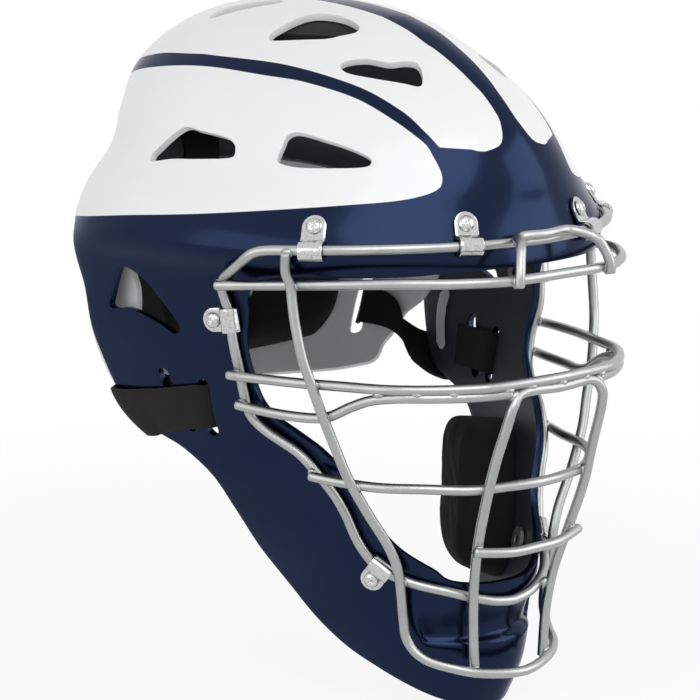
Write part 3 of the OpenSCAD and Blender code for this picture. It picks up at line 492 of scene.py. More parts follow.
class Nodes:  # a node tree and the ways to add to it
    def __init__(self, tree):
        self.tree = tree

    def node(self, kind, settings=None, inputs=None, out=0):
        made = self.tree.nodes.new("ShaderNode" + kind)
        for key, value in (settings or {}).items():
            setattr(made, key, value)
        for key, value in (inputs or {}).items():
            self.put(made.inputs[key], value)
        return Value(self, made.outputs[out])

    def put(self, socket, value):
        if isinstance(value, Value):
            self.tree.links.new(value.socket, socket)
        else:
            socket.default_value = value

    def place(self):
        return self.node("TexCoord", out=3)

    def attribute(self, name):
        return self.node("Attribute", {"attribute_name": name}, out=2)

    def axis(self, vector, which):
        return self.node("SeparateXYZ", {}, {0: vector}, out=which)

    def cloud(self, scale, detail=3.0, rough=0.5):  # scale per metre
        return self.node("TexNoise", {}, {"Vector": self.place(), "Scale": scale, "Detail": detail,
                                          "Roughness": rough})

    def mix(self, share, a, b):
        return self.node("Mix", {"data_type": "RGBA"}, {0: share, 6: a, 7: b}, out=2)

    def relief(self, height, metres, strength):
        return self.node("Bump", {}, {"Height": height, "Distance": metres, "Strength": strength})

    def seen(self):  # 1 for rays that show something to the camera, 0 for those that only light
        straight, mirrored, clear = (self.node("LightPath", out=f"Is {kind} Ray")
                                     for kind in ("Camera", "Glossy", "Transmission"))
        return straight.most(mirrored).most(clear)


class Finish(Nodes):
    def __init__(self, name, **sockets):
        self.material = bpy.data.materials.new(name)
        self.material.use_nodes = True
        super().__init__(self.material.node_tree)
        self.shader = self.tree.nodes["Principled BSDF"]
        self.feed(**sockets)

    def feed(self, **links):
        for socket, value in links.items():
            self.put(self.shader.inputs[socket.replace("_", " ")], value)
        return self.material


def grey(v):
    return (v, v, v, 1)


# Colours are linear
colours = {
    "navy": (0.0105, 0.0190, 0.050, 1), "navyDeep": (0.0078, 0.0145, 0.039, 1),
    "white": (0.80, 0.81, 0.81, 1), "whiteShade": grey(0.74),
    "lining": (0.028, 0.033, 0.044, 1), "liningDeep": (0.02, 0.023, 0.03, 1),
    "wire": (0.44, 0.455, 0.45, 1), "wireDark": (0.33, 0.345, 0.335, 1),
    "chrome": grey(0.58), "chromeWorn": (0.38, 0.38, 0.375, 1),
    "zinc": grey(0.55), "zincDull": grey(0.42), "webbing": (0.010, 0.010, 0.011, 1),
    # painted shade in the hollows of the weave, painted light on its raised threads
    "weaveHollowShade": (0.003, 0.003, 0.0035, 1), "weaveRaisedLit": (0.013, 0.013, 0.014, 1),
    # painted shade in the hollows of the knit, painted light on its raised loops
    "knitHollowShade": (0.004, 0.004, 0.0045, 1), "knitRaisedLit": (0.012, 0.012, 0.013, 1),
    # the second colour here is the pads' painted shade, in their sewn channels and round their rims
    "dust": (0.020, 0.020, 0.022, 1), "padShade": grey(0.004),
    "plateGrey": (0.74, 0.75, 0.76, 1), "patchGrey": (0.52, 0.55, 0.56, 1)}
paintLooks = {"metal": 0.92, "rough": 0.20, "whiteRougher": 0.18, "scuffRougher": 0.03, "coat": 0.05,
              "whiteCoat": 0.22, "relief": 0.55}
weave = {"rib": 1.15, "pick": 0.95}  # mm
knit = {"across": 0.9, "along": 0.7}  # mm


def shellPaint():
    f = Finish("navyAndWhitePaint", IOR=1.5, Coat_Roughness=0.04, Specular_Tint=(0.60, 0.62, 0.70, 1))
    edge = f.attribute("paintEdge")
    white = edge.between(-0.12, 0.12)
    peel = f.cloud(900.0, 2.0, 0.5)
    waves = f.cloud(70.0, 2.0, 0.4)
    scuff = f.cloud(240.0, 4.0, 0.6).between(0.62, 0.74)
    tone = f.mix(f.cloud(25.0, 3.0, 0.5), colours["navy"], colours["navyDeep"])
    pale = f.mix(f.cloud(30.0, 3.0, 0.5) * 0.5, colours["white"], colours["whiteShade"])
    step = edge.between(-0.35, 0.25)
    height = peel * 0.010 + waves * 0.12 + step * 0.16 + white * f.cloud(2600.0, 2.0, 0.6) * 0.012
    looks = paintLooks
    rough = looks["rough"] + white * looks["whiteRougher"] + scuff * looks["scuffRougher"]
    return f.feed(Base_Color=f.mix(white, tone, pale), Metallic=looks["metal"] - white * looks["metal"],
                  Roughness=rough, Coat_Weight=looks["coat"] + white * looks["whiteCoat"],
                  Normal=f.relief(height, 0.001, looks["relief"]))


def liningPaint():
    f = Finish("shellInside", IOR=1.46)
    grain = f.cloud(1400.0, 3.0, 0.6)
    tone = f.mix(f.cloud(40.0, 3.0, 0.5), colours["lining"], colours["liningDeep"])
    return f.feed(Base_Color=tone, Roughness=0.42 + grain * 0.15, Normal=f.relief(grain, 0.0001, 0.6))


def wireCoat():
    f = Finish("satinWireCoat", IOR=1.5, Metallic=1.0)
    speck = f.cloud(5200.0, 2.0, 0.5)
    patchy = f.cloud(120.0, 3.0, 0.55)
    tone = f.mix(patchy, colours["wire"], colours["wireDark"])
    return f.feed(Base_Color=tone, Roughness=0.24 + speck * 0.10 + patchy * 0.08,
                  Normal=f.relief(speck * 0.5 + f.cloud(600.0, 2.0, 0.5), 0.00008, 0.7))


def clipChrome():
    f = Finish("clipChrome", Metallic=1.0)
    wear = f.cloud(900.0, 4.0, 0.6)
    return f.feed(Base_Color=f.mix(wear.between(0.4, 0.8), colours["chrome"], colours["chromeWorn"]),
                  Roughness=0.10 + wear.between(0.45, 0.8) * 0.2,
                  Normal=f.relief(f.cloud(260.0, 2.0, 0.5), 0.0002, 0.35))


def dullZinc():
    f = Finish("dullZinc", Metallic=1.0)
    grain = f.cloud(1500.0, 4.0, 0.6)
    return f.feed(Base_Color=f.mix(grain, colours["zinc"], colours["zincDull"]),
                  Roughness=0.34 + grain * 0.2, Normal=f.relief(grain, 0.0001, 0.5))


def uvAxes(f):
    uv = f.node("UVMap", {"uv_map": "UVMap"})
    return f.axis(uv, 0), f.axis(uv, 1)


def wovenTape():  # u across and v along in mm
    f = Finish("wovenTape", Sheen_Weight=0.06, Sheen_Roughness=0.5, Specular_IOR_Level=0.15)
    u, v = uvAxes(f)
    ribs = (u * (2 * math.pi / weave["rib"])).sine()
    picks = (v * (2 * math.pi / weave["pick"]) + ribs * 1.2).sine()
    cloth = ribs * 0.5 + picks * 0.5
    # painted shade and light: the weave darker in its hollows, lighter on its raised threads
    tone = f.mix(cloth.between(-1.0, 1.0), colours["weaveHollowShade"], colours["weaveRaisedLit"])
    height = cloth + f.cloud(900.0) * 0.4
    return f.feed(Base_Color=f.mix(f.cloud(300.0, 3.0, 0.6) * 0.5, tone, colours["webbing"]),
                  Roughness=0.78 + cloth * 0.06, Normal=f.relief(height, 0.00022, 0.8))


def padFabric():
    f = Finish("padFabric", Sheen_Weight=0.08, Sheen_Roughness=0.6, Specular_IOR_Level=0.15)
    u, v = uvAxes(f)
    loops = (u * (2 * math.pi / knit["across"])).sine() * (v * (2 * math.pi / knit["along"])).sine()
    crease = f.cloud(60.0, 3.0, 0.55)
    padShadeMask = f.attribute("padShade")
    # painted shade and light: the knit darker in its hollows, lighter on its raised loops
    tone = f.mix(loops.between(-0.9, 0.9), colours["knitHollowShade"], colours["knitRaisedLit"])
    dusty = f.mix(crease.between(0.55, 0.8) * 0.25, tone, colours["dust"])
    # painted shade: the fabric darker in its sewn channels and round its rim
    return f.feed(Base_Color=f.mix(padShadeMask * 0.6, dusty, colours["padShade"]), Roughness=0.82 + loops * 0.05,
                  Normal=f.relief(loops * 0.12 + crease * 1.2 - padShadeMask * 0.5, 0.0004, 0.7))


def plateGrain(name, tone):
    f = Finish(name, IOR=1.46, Specular_IOR_Level=0.4)
    grain = f.cloud(1900.0, 3.0, 0.6)
    mark = f.cloud(55.0, 4.0, 0.6).between(0.55, 0.8)
    darker = tuple(c * 0.82 for c in tone[:3]) + (1,)
    return f.feed(Base_Color=f.mix(mark * 0.6, tone, darker), Roughness=0.46 + grain * 0.14,
                  Normal=f.relief(grain, 0.00008, 0.7))


finishes = {"paint": shellPaint(), "inside": liningPaint(), "wire": wireCoat(), "chrome": clipChrome(),
            "zinc": dullZinc(), "tape": wovenTape(), "pad": padFabric(),
            "plate": plateGrain("plateGrey", colours["plateGrey"]),
            "patch": plateGrain("patchGrey", colours["patchGrey"])}
print("finishes ready")


def addShell():
    where, corners = shellSheet()
    bm = halfToWhole(shellAt(where[:, 0], where[:, 1]) * mm, corners)
    shell = meshPiece("helmetShell", bm, finishes["paint"], finishes["inside"])
    thicken(shell, helmet["wall"], -1).material_offset = 1  # the inside has its own finish
    roundEdges(shell, helmet["edgeRound"], 3, 50)
    shell.data.update()
    co = np.zeros(len(shell.data.vertices) * 3)
    shell.data.vertices.foreach_get("co", co)
    co = co.reshape(-1, 3) / mm
    far = np.clip(paintDistance(ringAngles(co), co[:, 2]), -30, 30)
    shell.data.attributes.new("paintEdge", "FLOAT", "POINT").data.foreach_set("value", far)
    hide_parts("outer_shell")
    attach(shell, "shell")
    print("shell ready", len(shell.data.polygons))


def ringAngles(co):  # ring angle of points that lie on the skin
    x, y, z = abs(co[:, 0]), co[:, 1], co[:, 2]
    mid = ringAt(z, colMiddle)
    front = y < mid
    n = np.where(front, ringAt(z, colFrontRound), ringAt(z, colBackRound))
    reach = np.where(front, reachAt(z, colFront), reachAt(z, colBack)) - mid
    s = (x / np.maximum(widthAt(z), 1e-6)) ** (n / 2)
    c = np.clip((y - mid) / np.where(reach == 0, 1, reach), 0, None) ** (n / 2)
    return np.degrees(np.arctan2(s, np.where(front, c, -c)))


addShell()

# Cage: every wire's own route, in mm, from the middle of the face to the wearer's left
wire = {"radius": 2.1, "offShell": 2.7, "crossing": 3.4, "sides": 4, "step": 1.6, "endRound": 0.5}
cage = {"reach": 125.5, "browWire": 49, "eyeWire": 7, "mouthDrop": 37, "chinDrop": 65.5, "barGap": 56.6}
edgeRoute = [[0, 60.6], [10, 60.8], [22, 60.7], [34, 60.5], [46, 60], [54, 59.6], [59.2, 58.9],
             [61.9, 56.2], [63.2, 50.5], [63.4, 42], [62.1, 32], [61.2, 20], [60.3, 8], [60.1, -4],
             [59.8, -12], [57.6, -18.5], [53.4, -26], [50.8, -35], [48.8, -43], [48.1, -52],
             [48.3, -62], [47.4, -69.4], [44.6, -75.2], [37, -80], [28, -83], [19, -85.8],
             [9, -88.4], [0, -89.5]]


def mirrored(half):
    half = np.asarray(half, float)
    return np.vstack([half[:0:-1] * [-1, 1, 1], half])


def fitted(p, first, last):
    p, t = np.asarray(p, float), np.linspace(0, 1, len(p))[:, None]
    return p + (1 - t) * (np.array(first) - p[0]) + t * (np.array(last) - p[-1])


def onEdge(angle, z):
    return skin(angle, z, wire["offShell"] + wire["crossing"])


def cageRoutes():
    reach, step = cage["reach"], wire["crossing"]
    edge = curvePoints(edgeRoute, 2)
    edge = np.array([skin(a, z, wire["offShell"]) for a, z in edge])
    brow = fitted([[0, -125, 0], [27, -124, 0], [44, -116, 0], [57, -104.5, 0], [68.3, -90.8, -0.4],
                   [76.3, -76, -1.4], [82.2, -60.5, -2.6], [89, -43, -4], [95.5, -29, -5]],
                  [0, -reach, cage["browWire"]], onEdge(64, 45))
    eye = fitted([[0, -125.5, 0], [28, -122.5, 0], [39, -118.5, 0], [53.5, -108, 0], [65, -94.5, 0],
                  [72.8, -76.5, 0], [80.4, -58.3, 0], [86.3, -37.7, 0], [88.4, -26.3, 0]],
                 [0, -reach, cage["eyeWire"]], onEdge(61.6, cage["eyeWire"]))
    mouth = fitted([[0, -117, 0], [20, -113, 0], [33, -107.5, 0], [48, -96, 1], [59.5, -80.7, 1],
                    [66, -62, 1.5], [69.8, -50.2, 2.5]],
                   [0, 8.5 - reach, -cage["mouthDrop"]], onEdge(51.8, 2.5 - cage["mouthDrop"]))
    half, low = cage["barGap"] / 2, -cage["chinDrop"]
    chin = [[0, 12.7 - reach, low], [14, 13.2 - reach, 0.2 + low], [half + 2, 17.6 - reach, 2 + low]]
    top, front = 64, 0.6 - reach - step
    loop = [[0, shellAt(0, top)[1] - wire["offShell"] - step, top],
            [14, shellAt(8, top)[1] - wire["offShell"] - step, top],
            [20.6, front + 5.2, top - 2.4], [23.6, front + 2.4, top - 7],
            [25.6, front + 0.6, cage["browWire"] + 2], [25.9, front + 0.6, cage["browWire"] - 2.5]]
    bars = [onEdge(53.6, 59), [88, -59.6, 51.5], [85.7, -59.8, 46], [85.2, -60.6, 38], [84.8, -62, 29],
            [83.4, -64.6, 16], [81.1, -66.7, 7], [77.7, -69, -5], [72.6, -71.2, -19], [67.8, -73.4, -32],
            [59, -75.8, -48], [50, -77.6, -62], [45.2, -78.9, -73], [43.2, -79, -84], [41.2, -78.2, -95],
            [39.6, -79, -104.5], [36, -85, -111.5], [29, -95.5, -114.8], [18, -102.5, -117.5],
            [0, -107, -119]]
    under = cage["eyeWire"] - step
    cheek = [[25, 2.5 - reach, under - 0.4], [39, 7.5 - reach, under - 0.4], [53, -108, under - 0.4],
             [61, -98.8, under - 0.6], [65.6, -89, 1.4], [68.6, -81, -2], [71.2, -73, -6.4],
             [72.8, -66, -8.2], [77.2, -54, -8.2], [80, -40, -7.6], [81.7, -30, -6.8]]
    cheek = fitted(cheek, cheek[0], onEdge(61, -6.6))
    centre = [[0, -reach, under - 0.4], [half - 9, 1.5 - reach, under - 0.4],
              [half - 3, 1 - reach, -1.5], [half - 1.4, 2.6 - reach, -9], [half - 0.4, 8 - reach, -25],
              [half, 12.8 - reach, -42], [half - 1.8, 19 - reach, -61], [half - 5, 24.5 - reach, -80],
              [half - 7.2, 27 - reach, -98], [half - 8.6, 27.4 - reach, -118.5]]
    return {"brow_wire": mirrored(brow), "brow_loop": mirrored(loop), "eye_wire": mirrored(eye),
            "side_bars": mirrored(np.array(bars)[::-1]), "cheek_wire_left": np.array(cheek),
            "cheek_wire_right": np.array(cheek) * [-1, 1, 1], "centre_bars": mirrored(centre),
            "mouth_wire": mirrored(mouth), "chin_wire": mirrored(chin),
            "perimeter_wire": np.vstack([edge, edge[-2:0:-1] * [-1, 1, 1]])}


def smoothRoute(p, closed):
    p = curvePoints(p, 12, closed)
    if closed:
        p = np.vstack([p, p[:1]])
    run = lengths(p)
    p = pointsAt(np.linspace(0, run[-1], max(6, int(run[-1] / wire["step"]))), run, p)
    return p[:-1] if closed else p


def tube(name, route, closed):
    data = bpy.data.curves.new(name, "CURVE")
    data.dimensions, data.bevel_depth, data.bevel_resolution = "3D", wire["radius"] * mm, wire["sides"]
    data.use_fill_caps = not closed
    data.twist_mode = "MINIMUM"
    spline = data.splines.new("POLY")
    spline.points.add(len(route) - 1)
    spline.points.foreach_set("co", np.hstack([route * mm, np.ones((len(route), 1))]).ravel())
    spline.use_cyclic_u = closed
    rod = bpy.data.objects.new(name, data)
    scene.collection.objects.link(rod)
    bpy.context.view_layer.update()
    bm = bmesh.new()
    bm.from_mesh(rod.evaluated_get(bpy.context.evaluated_depsgraph_get()).to_mesh())
    bpy.data.objects.remove(rod)
    bmesh.ops.remove_doubles(bm, verts=bm.verts[:], dist=1e-6)
    if not closed:
        ends = [e for e in bm.edges if len(e.link_faces) == 2 and e.calc_face_angle(0) > 1.0]
        bmesh.ops.bevel(bm, geom=ends, offset=wire["endRound"] * mm, segments=2, profile=0.5,
                        affect="EDGES", material=-1)
    bmesh.ops.recalc_face_normals(bm, faces=bm.faces[:])
    return bm


def addCage():
    routes = {n: smoothRoute(p, n == "perimeter_wire") for n, p in cageRoutes().items()}
    for name, route in routes.items():
        rod = meshPiece("cage_" + name, tube(name, route, name == "perimeter_wire"), finishes["wire"])
        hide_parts(name)
        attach(rod, "shell")
    addWelds(routes)
    print("cage ready", len(routes))


weld = {"reach": 5.0, "size": (2.7, 2.1, 1.75), "apart": 14, "lump": 0.10, "grain": 900}


def addWelds(routes):  # a swollen bead wherever two wires touch
    names, bm = sorted(routes), bmesh.new()
    for i, a in enumerate(names):
        for b in names[i + 1:]:
            gap = np.linalg.norm(routes[a][:, None] - routes[b][None], axis=2)
            while gap.min() < weld["reach"]:
                j, k = np.unravel_index(gap.argmin(), gap.shape)
                p, q = Vector(routes[a][j]), Vector(routes[b][k])
                along = Vector(routes[a][(j + 1) % len(routes[a])] - routes[a][j - 1]).normalized()
                across = (q - p).normalized()
                along = (along - across * along.dot(across)).normalized()
                turn = Matrix((along, across.cross(along), across)).transposed().to_4x4()
                made = bmesh.ops.create_icosphere(bm, subdivisions=3, radius=1 * mm)["verts"]
                for v in made:
                    lump = 1 + weld["lump"] * noise.noise(v.co * weld["grain"] + Vector((j, k, i)))
                    v.co = Vector([c * s for c, s in zip(v.co, weld["size"])]) * lump
                bmesh.ops.transform(bm, matrix=Matrix.Translation((p + q) / 2 * mm) @ turn, verts=made)
                gap[np.linalg.norm(routes[a] - routes[a][j], axis=1) < weld["apart"]] = 99
    beads = meshPiece("weldBeads", bm, finishes["wire"])
    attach(beads, "shell")


addCage()

# Clips: ring angle and height where each grips the wire, and the way to its screw in degrees
clips = {"brow_clips": [(17.5, 60.7, 84), (49.2, 59.6, 90)], "temple_clips": [(61.8, 27.8, -7)],
         "chin_clips": [(45, -74.2, -42)]}
clip = {"reach": 8.6, "width": 9.8, "sheet": 1.2, "lift": 0.5, "bend": 2.8, "hook": (212, 8),
        "edge": 0.28}
screw = {"head": 6.6, "dome": 1.9, "shank": 3.6, "length": 7.6, "sunk": 3.7, "seat": 0.3,
         "cross": (3.9, 0.9, 1.5), "taper": 0.55, "turn": 20, "nextTurn": 47}


def clipPlace(spot, side):
    angle, z, way = spot
    mmEach = np.linalg.norm(shellAt(angle + 0.5, z) - shellAt(angle - 0.5, z))
    at = (angle + clip["reach"] * math.cos(math.radians(way)) / mmEach,
          z + clip["reach"] * math.sin(math.radians(way)))
    place, out = shellAt(side * at[0], at[1]), outward(side * at[0], at[1])
    away = place - shellAt(side * angle, z)
    up = unit(away - away.dot(out) * out)
    along = np.cross(up, out)
    turn = Matrix([[along[k], up[k], out[k], place[k] * mm] for k in range(3)] + [[0, 0, 0, 1]])
    grip = skin(side * angle, z, wire["offShell"]) - place
    return turn, grip.dot(up), grip.dot(out)


def clipSheet(bm, turn, wireY, wireZ):  # sheet bent round the wire, with a round tab
    r, level = clip["bend"] + clip["sheet"] / 2, clip["lift"] + clip["sheet"] / 2
    bend = np.radians(np.linspace(*clip["hook"], 15))
    path = [(wireY + r * math.cos(t), wireZ + r * math.sin(t)) for t in bend]
    path += [(wireY + r + 0.3, level + 0.9), (wireY + r + 1.0, level + 0.2), (wireY + r + 2.0, level)]
    half = clip["width"] / 2
    path += [(y, level) for y in np.linspace(wireY + r + 3, 0, 4)]
    path += [(half * math.sin(t), level) for t in np.radians([15, 32, 48, 62, 74, 83, 88])]
    made = bmesh.ops.create_grid(bm, x_segments=len(path) - 1, y_segments=8, size=0.5)["verts"]
    for v in made:
        i = int(round((v.co.x + 0.5) * (len(path) - 1)))
        y, z = path[i]
        wide = math.sqrt(max(0.0, half**2 - y**2)) if y > 0 else half
        v.co = Vector((v.co.y * 2 * wide, y, z)) * mm
    bmesh.ops.transform(bm, matrix=turn, verts=made)


def addClips():
    for name, spots in clips.items():
        bm = bmesh.new()
        for spot in spots:
            for side in (1, -1):
                clipSheet(bm, *clipPlace(spot, side))
        bmesh.ops.recalc_face_normals(bm, faces=bm.faces[:])
        bent = meshPiece("bent_" + name, bm, finishes["chrome"])
        thicken(bent, clip["sheet"], 0)
        roundEdges(bent, clip["edge"], 2)
        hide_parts(name)
        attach(bent, "shell")
    addScrews()
    print("clips ready")


def screwHead():  # a turned dome with a cross cut into it
    one, dome, r = bmesh.new(), screw["dome"], screw["head"] / 2
    profile = [(0, dome), (0.9, dome - 0.06), (1.8, dome - 0.25), (2.6, dome - 0.62), (r - 0.12, 0.55),
               (r, 0.35), (r, 0.1), (r - 0.1, 0), (0, 0)]
    verts = [one.verts.new((x * mm, 0, z * mm)) for x, z in profile]
    edges = [one.edges.new(pair) for pair in zip(verts[:-1], verts[1:])]
    bmesh.ops.spin(one, geom=verts + edges, cent=(0, 0, 0), axis=(0, 0, 1), angle=2 * math.pi, steps=32,
                   use_merge=True)
    bmesh.ops.remove_doubles(one, verts=one.verts[:], dist=1e-6)
    bmesh.ops.recalc_face_normals(one, faces=one.faces[:])
    head = meshPiece("screwHead", one)
    cross, (length, width, deep) = bmesh.new(), screw["cross"]
    for turn in (0, math.pi / 2):
        bar = bmesh.ops.create_cube(cross, size=1)["verts"]
        for v in bar:
            taper = screw["taper"] if v.co.z < 0 else 1.0
            v.co = Vector((v.co.x * length * taper, v.co.y * width * taper, v.co.z * deep + dome)) * mm
        bmesh.ops.rotate(cross, cent=(0, 0, 0), matrix=Matrix.Rotation(turn, 3, "Z"), verts=bar)
    cutter = meshPiece("screwCross", cross)
    cut = head.modifiers.new("cross", "BOOLEAN")
    cut.object, cut.solver, cut.operation, cut.use_self = cutter, "EXACT", "DIFFERENCE", True
    bpy.context.view_layer.update()
    finished = head.evaluated_get(bpy.context.evaluated_depsgraph_get()).to_mesh().copy()
    bpy.data.objects.remove(head)
    bpy.data.objects.remove(cutter)
    return finished


def addScrews():
    head, bm, shank = screwHead(), bmesh.new(), screw["shank"] / 2 * mm
    level = clip["lift"] + clip["sheet"] + screw["seat"]
    spots = [(spot, side) for group in clips.values() for spot in group for side in (1, -1)]
    for k, (spot, side) in enumerate(spots):
        before = set(bm.verts)
        bm.from_mesh(head)
        bmesh.ops.create_cone(bm, cap_ends=True, segments=20, radius1=shank, radius2=shank,
                              depth=screw["length"] * mm,
                              matrix=Matrix.Translation((0, 0, -screw["sunk"] * mm)))
        turn = clipPlace(spot, side)[0] @ Matrix.Translation((0, 0, level * mm))
        spin = Matrix.Rotation(math.radians(screw["turn"] + screw["nextTurn"] * k), 4, "Z")
        bmesh.ops.transform(bm, matrix=turn @ spin, verts=[v for v in bm.verts if v not in before])
    screws = meshPiece("clipScrews", bm, finishes["chrome"], smooth=False)
    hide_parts("cage_screws")
    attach(screws, "shell")


addClips()

# Pads: ring angles and heights they cover, and the depth of their back under the skin
usualPad = {"depth": 3.9, "thick": 13, "body": "shell"}
pads = {
    "forehead_pad": {"turns": (-38, 38), "heights": (78, 108), "channels": 3},
    "side_pad_left": {"turns": (76, 124), "heights": (60, 85), "channels": 1},
    "side_pad_right": {"turns": (-76, -124), "heights": (60, 85), "channels": 1},
    "nape_pad": {"turns": (150, 210), "heights": (104, 126), "channels": 1},
    "jaw_pad_left": {"turns": (56, 78), "heights": (-100, -38), "thick": 24, "channels": 0},
    "jaw_pad_right": {"turns": (-56, -78), "heights": (-100, -38), "thick": 24, "channels": 0},
    "back_pad": {"turns": (125, 235), "heights": (-25, 36), "depth": 12.5, "thick": 12, "channels": 2,
                 "body": "back_plate"}}
crownPad = {"rings": [0, 0.3, 0.55, 0.8, 1], "heights": [149.9, 148.6, 146.6, 143.9, 141]}
padLooks = {"fill": 0.7, "roundCorner": 0.72, "channelDeep": 2.6, "channelWide": 2.4, "sag": 0.45,
            "rim": 0.34, "crown": 0.42, "square": 5, "drawIn": (0.985, 0.975), "roll": 1.6,
            # next: where the painted shade round each pad's rim starts and how dark it is, then the
            # grids
            "rimShadeFrom": 0.97, "rimShade": 0.8, "grid": (44, 30), "plainGrid": (26, 40)}


def padPlace(pad):
    (a, b), (low, high) = pad["turns"], pad["heights"]
    return lambda u, v: ((a + b) / 2 + u * (b - a) / 2, (low + high) / 2 + v * (high - low) / 2)


def crownPlace(u, v):
    z = np.interp(math.hypot(u, v), crownPad["rings"], crownPad["heights"])
    return math.degrees(math.atan2(u, v)) % 360, float(z)


def addPad(name, place, depth, thick, channels, corner, body):
    bm = bmesh.new()
    across, along = padLooks["grid" if channels else "plainGrid"]
    bmesh.ops.create_grid(bm, x_segments=across, y_segments=along, size=1)
    # share of painted shade at each point, read by the fabric's colour
    padShade = bm.verts.layers.float.new("padShade")
    lifted = bmesh.ops.extrude_face_region(bm, geom=bm.faces[:])["geom"]
    front = {g for g in lifted if isinstance(g, bmesh.types.BMVert)}
    wide, tall = (np.linalg.norm(shellAt(*place(*a)) - shellAt(*place(*b)))
                  for a, b in (((-0.5, 0), (0.5, 0)), ((0, -0.5), (0, 0.5))))
    spots = {v: (v.co.x, v.co.y) for v in bm.verts}
    layUv(bm, {v: (u * wide, w * tall) for v, (u, w) in spots.items()})
    sewn = np.linspace(-1, 1, channels + 2)[1:-1]
    for v, (u, w) in spots.items():
        x, y = u * math.sqrt(1 - corner * w * w / 2), w * math.sqrt(1 - corner * u * u / 2)
        edge = (1 - abs(u) ** padLooks["square"]) * (1 - abs(w) ** padLooks["square"])
        groove = sum(math.exp(-(((u - at) * wide) / padLooks["channelWide"]) ** 2) for at in sewn)
        deep = depth
        if v in front:
            rise = padLooks["rim"] + (1 - padLooks["rim"]) * max(0.0, edge) ** padLooks["crown"]
            lump = noise.fractal(Vector((u * 3, w * 3, depth + thick)), 0.6, 2.2, 3)
            deep += thick * rise - groove * padLooks["channelDeep"] + padLooks["sag"] * lump
            x, y = x * padLooks["drawIn"][0], y * padLooks["drawIn"][1]
        # painted shade: darker in the sewn channels and round the pad's rim
        rim = padLooks["rimShade"] if max(abs(u), abs(w)) > padLooks["rimShadeFrom"] else 0
        v[padShade] = min(1.0, groove + rim)
        angle, z = place(x, y)
        v.co = Vector(skin(angle, z, -deep)) * mm
    bmesh.ops.recalc_face_normals(bm, faces=bm.faces[:])
    pad = meshPiece("soft_" + name, bm, finishes["pad"])
    roundEdges(pad, padLooks["roll"], 3, 45)
    smooth = pad.modifiers.new("smooth", "SUBSURF")
    smooth.levels = smooth.render_levels = 1
    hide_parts(name)
    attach(pad, body)


def addPads():
    for name, own in pads.items():
        pad = {**usualPad, **own}
        addPad(name, padPlace(pad), pad["depth"], pad["thick"], pad["channels"], padLooks["roundCorner"],
               pad["body"])
    addPad("crown_pad", crownPlace, usualPad["depth"], usualPad["thick"], 0, 1.0, usualPad["body"])
    print("pads ready")


addPads()

# Back plate, as ring angle and height of its edge from the top round to the foot
plate = {"depth": 9.2, "sheet": 2.6, "step": 2.6, "edgeStep": 2.0, "slotStep": 1.2, "edgeRound": 0.8,
         "edge": [(180, 77), (158, 76), (141, 71), (124, 62), (108, 55), (95, 50), (87, 43.5),
                  (84.8, 34), (84.4, 24), (85.4, 14), (87, 5), (90, 0), (94, -3.5), (98, -9), (102, -15),
                  (107, -20.5), (112, -28), (120, -31.5), (138, -34.5), (180, -35)],
         "slot": ([80.8, 10.5], [80.3, -14.5]), "slotHalf": 2.9}


def addBackPlate():
    edge = evenly(curvePoints(plate["edge"], 8), plate["edgeStep"])
    top, foot = plate["edge"][0][1], plate["edge"][-1][1]
    middle = evenly(upright(180, foot, top, 80), plate["step"])[1:-1]
    slot = slotOutline(*plate["slot"], plate["slotHalf"])
    hole = evenly(fromSide(slot), plate["slotStep"], closed=True)
    rows = np.arange(foot + 1, top, plate["step"] * rowShare)
    spread = spreadOver(rows, 90, 180, plate["step"])
    where, corners = cutSheet(spread, np.vstack([edge, middle]), [hole], plate["step"])
    bm = halfToWhole(skin(where[:, 0], where[:, 1], -plate["depth"]) * mm, corners)
    back = meshPiece("backPlate", bm, finishes["plate"])
    thicken(back, plate["sheet"], -1)
    roundEdges(back, plate["edgeRound"], 3, 50)
    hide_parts("back_plate")
    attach(back, "back_plate")
    print("back plate ready")


addBackPlate()

# Straps: centre lines as ring angle, distance off the skin and rise. Lean, pull and tilt turn a strap
# across its width, between the ring angles named with them
strap = {"width": 18, "sheet": 1.6, "edge": 0.5, "head": -7, "columns": 13, "blendRows": (72, 42),
         "lean": (0.1, 0.5, 1), "leanFrom": (93, 78), "pull": (-2.6, 2.4, -4.8), "pullFrom": (76, 92),
         "pullTo": (113, 99), "tilt": (-1.2, 1.4, 2.4), "tiltFrom": (105, 112),
         "bow": 0.25, "bowFrom": (94, 90), "bowTo": (71, 74)}
strapRoute = [(115.7, -10.4, 13), (115.1, -11.3, 13), (114.4, -12.5, 13), (113.2, -14.1, 13),
              (106, -14.1, 12), (101, -14.1, 9.5), (98, -14.1, 6.5), (96.5, -14.1, 3),
              (95.4, -13.8, 0.5), (94.4, -10, -1.5), (93.9, -6, -2.8), (93.4, -2.6, -3.2),
              (92.6, 1.5, -3.4), (90.5, 2.2, -3.2), (87, 2, -2.6), (82, 1.5, -1.3), (77, 1.5, 0.4),
              (71.8, 1.5, 3), (69.6, 1.3, 4), (68.2, 0.3, 4), (67.4, -1.6, 4), (67.2, -3.2, 4),
              (67.8, -4.6, 4), (69.4, -5, 4), (72.2, -4.7, 4), (76, -4.7, 4), (78.8, -4.7, 4)]
crownStrap = {"width": 18, "turn": 6.4,
              "route": [(97, 1.5), (89, 2.1), (83, 8.9), (78, 10.4), (70, 10.4), (64, 10.4)]}


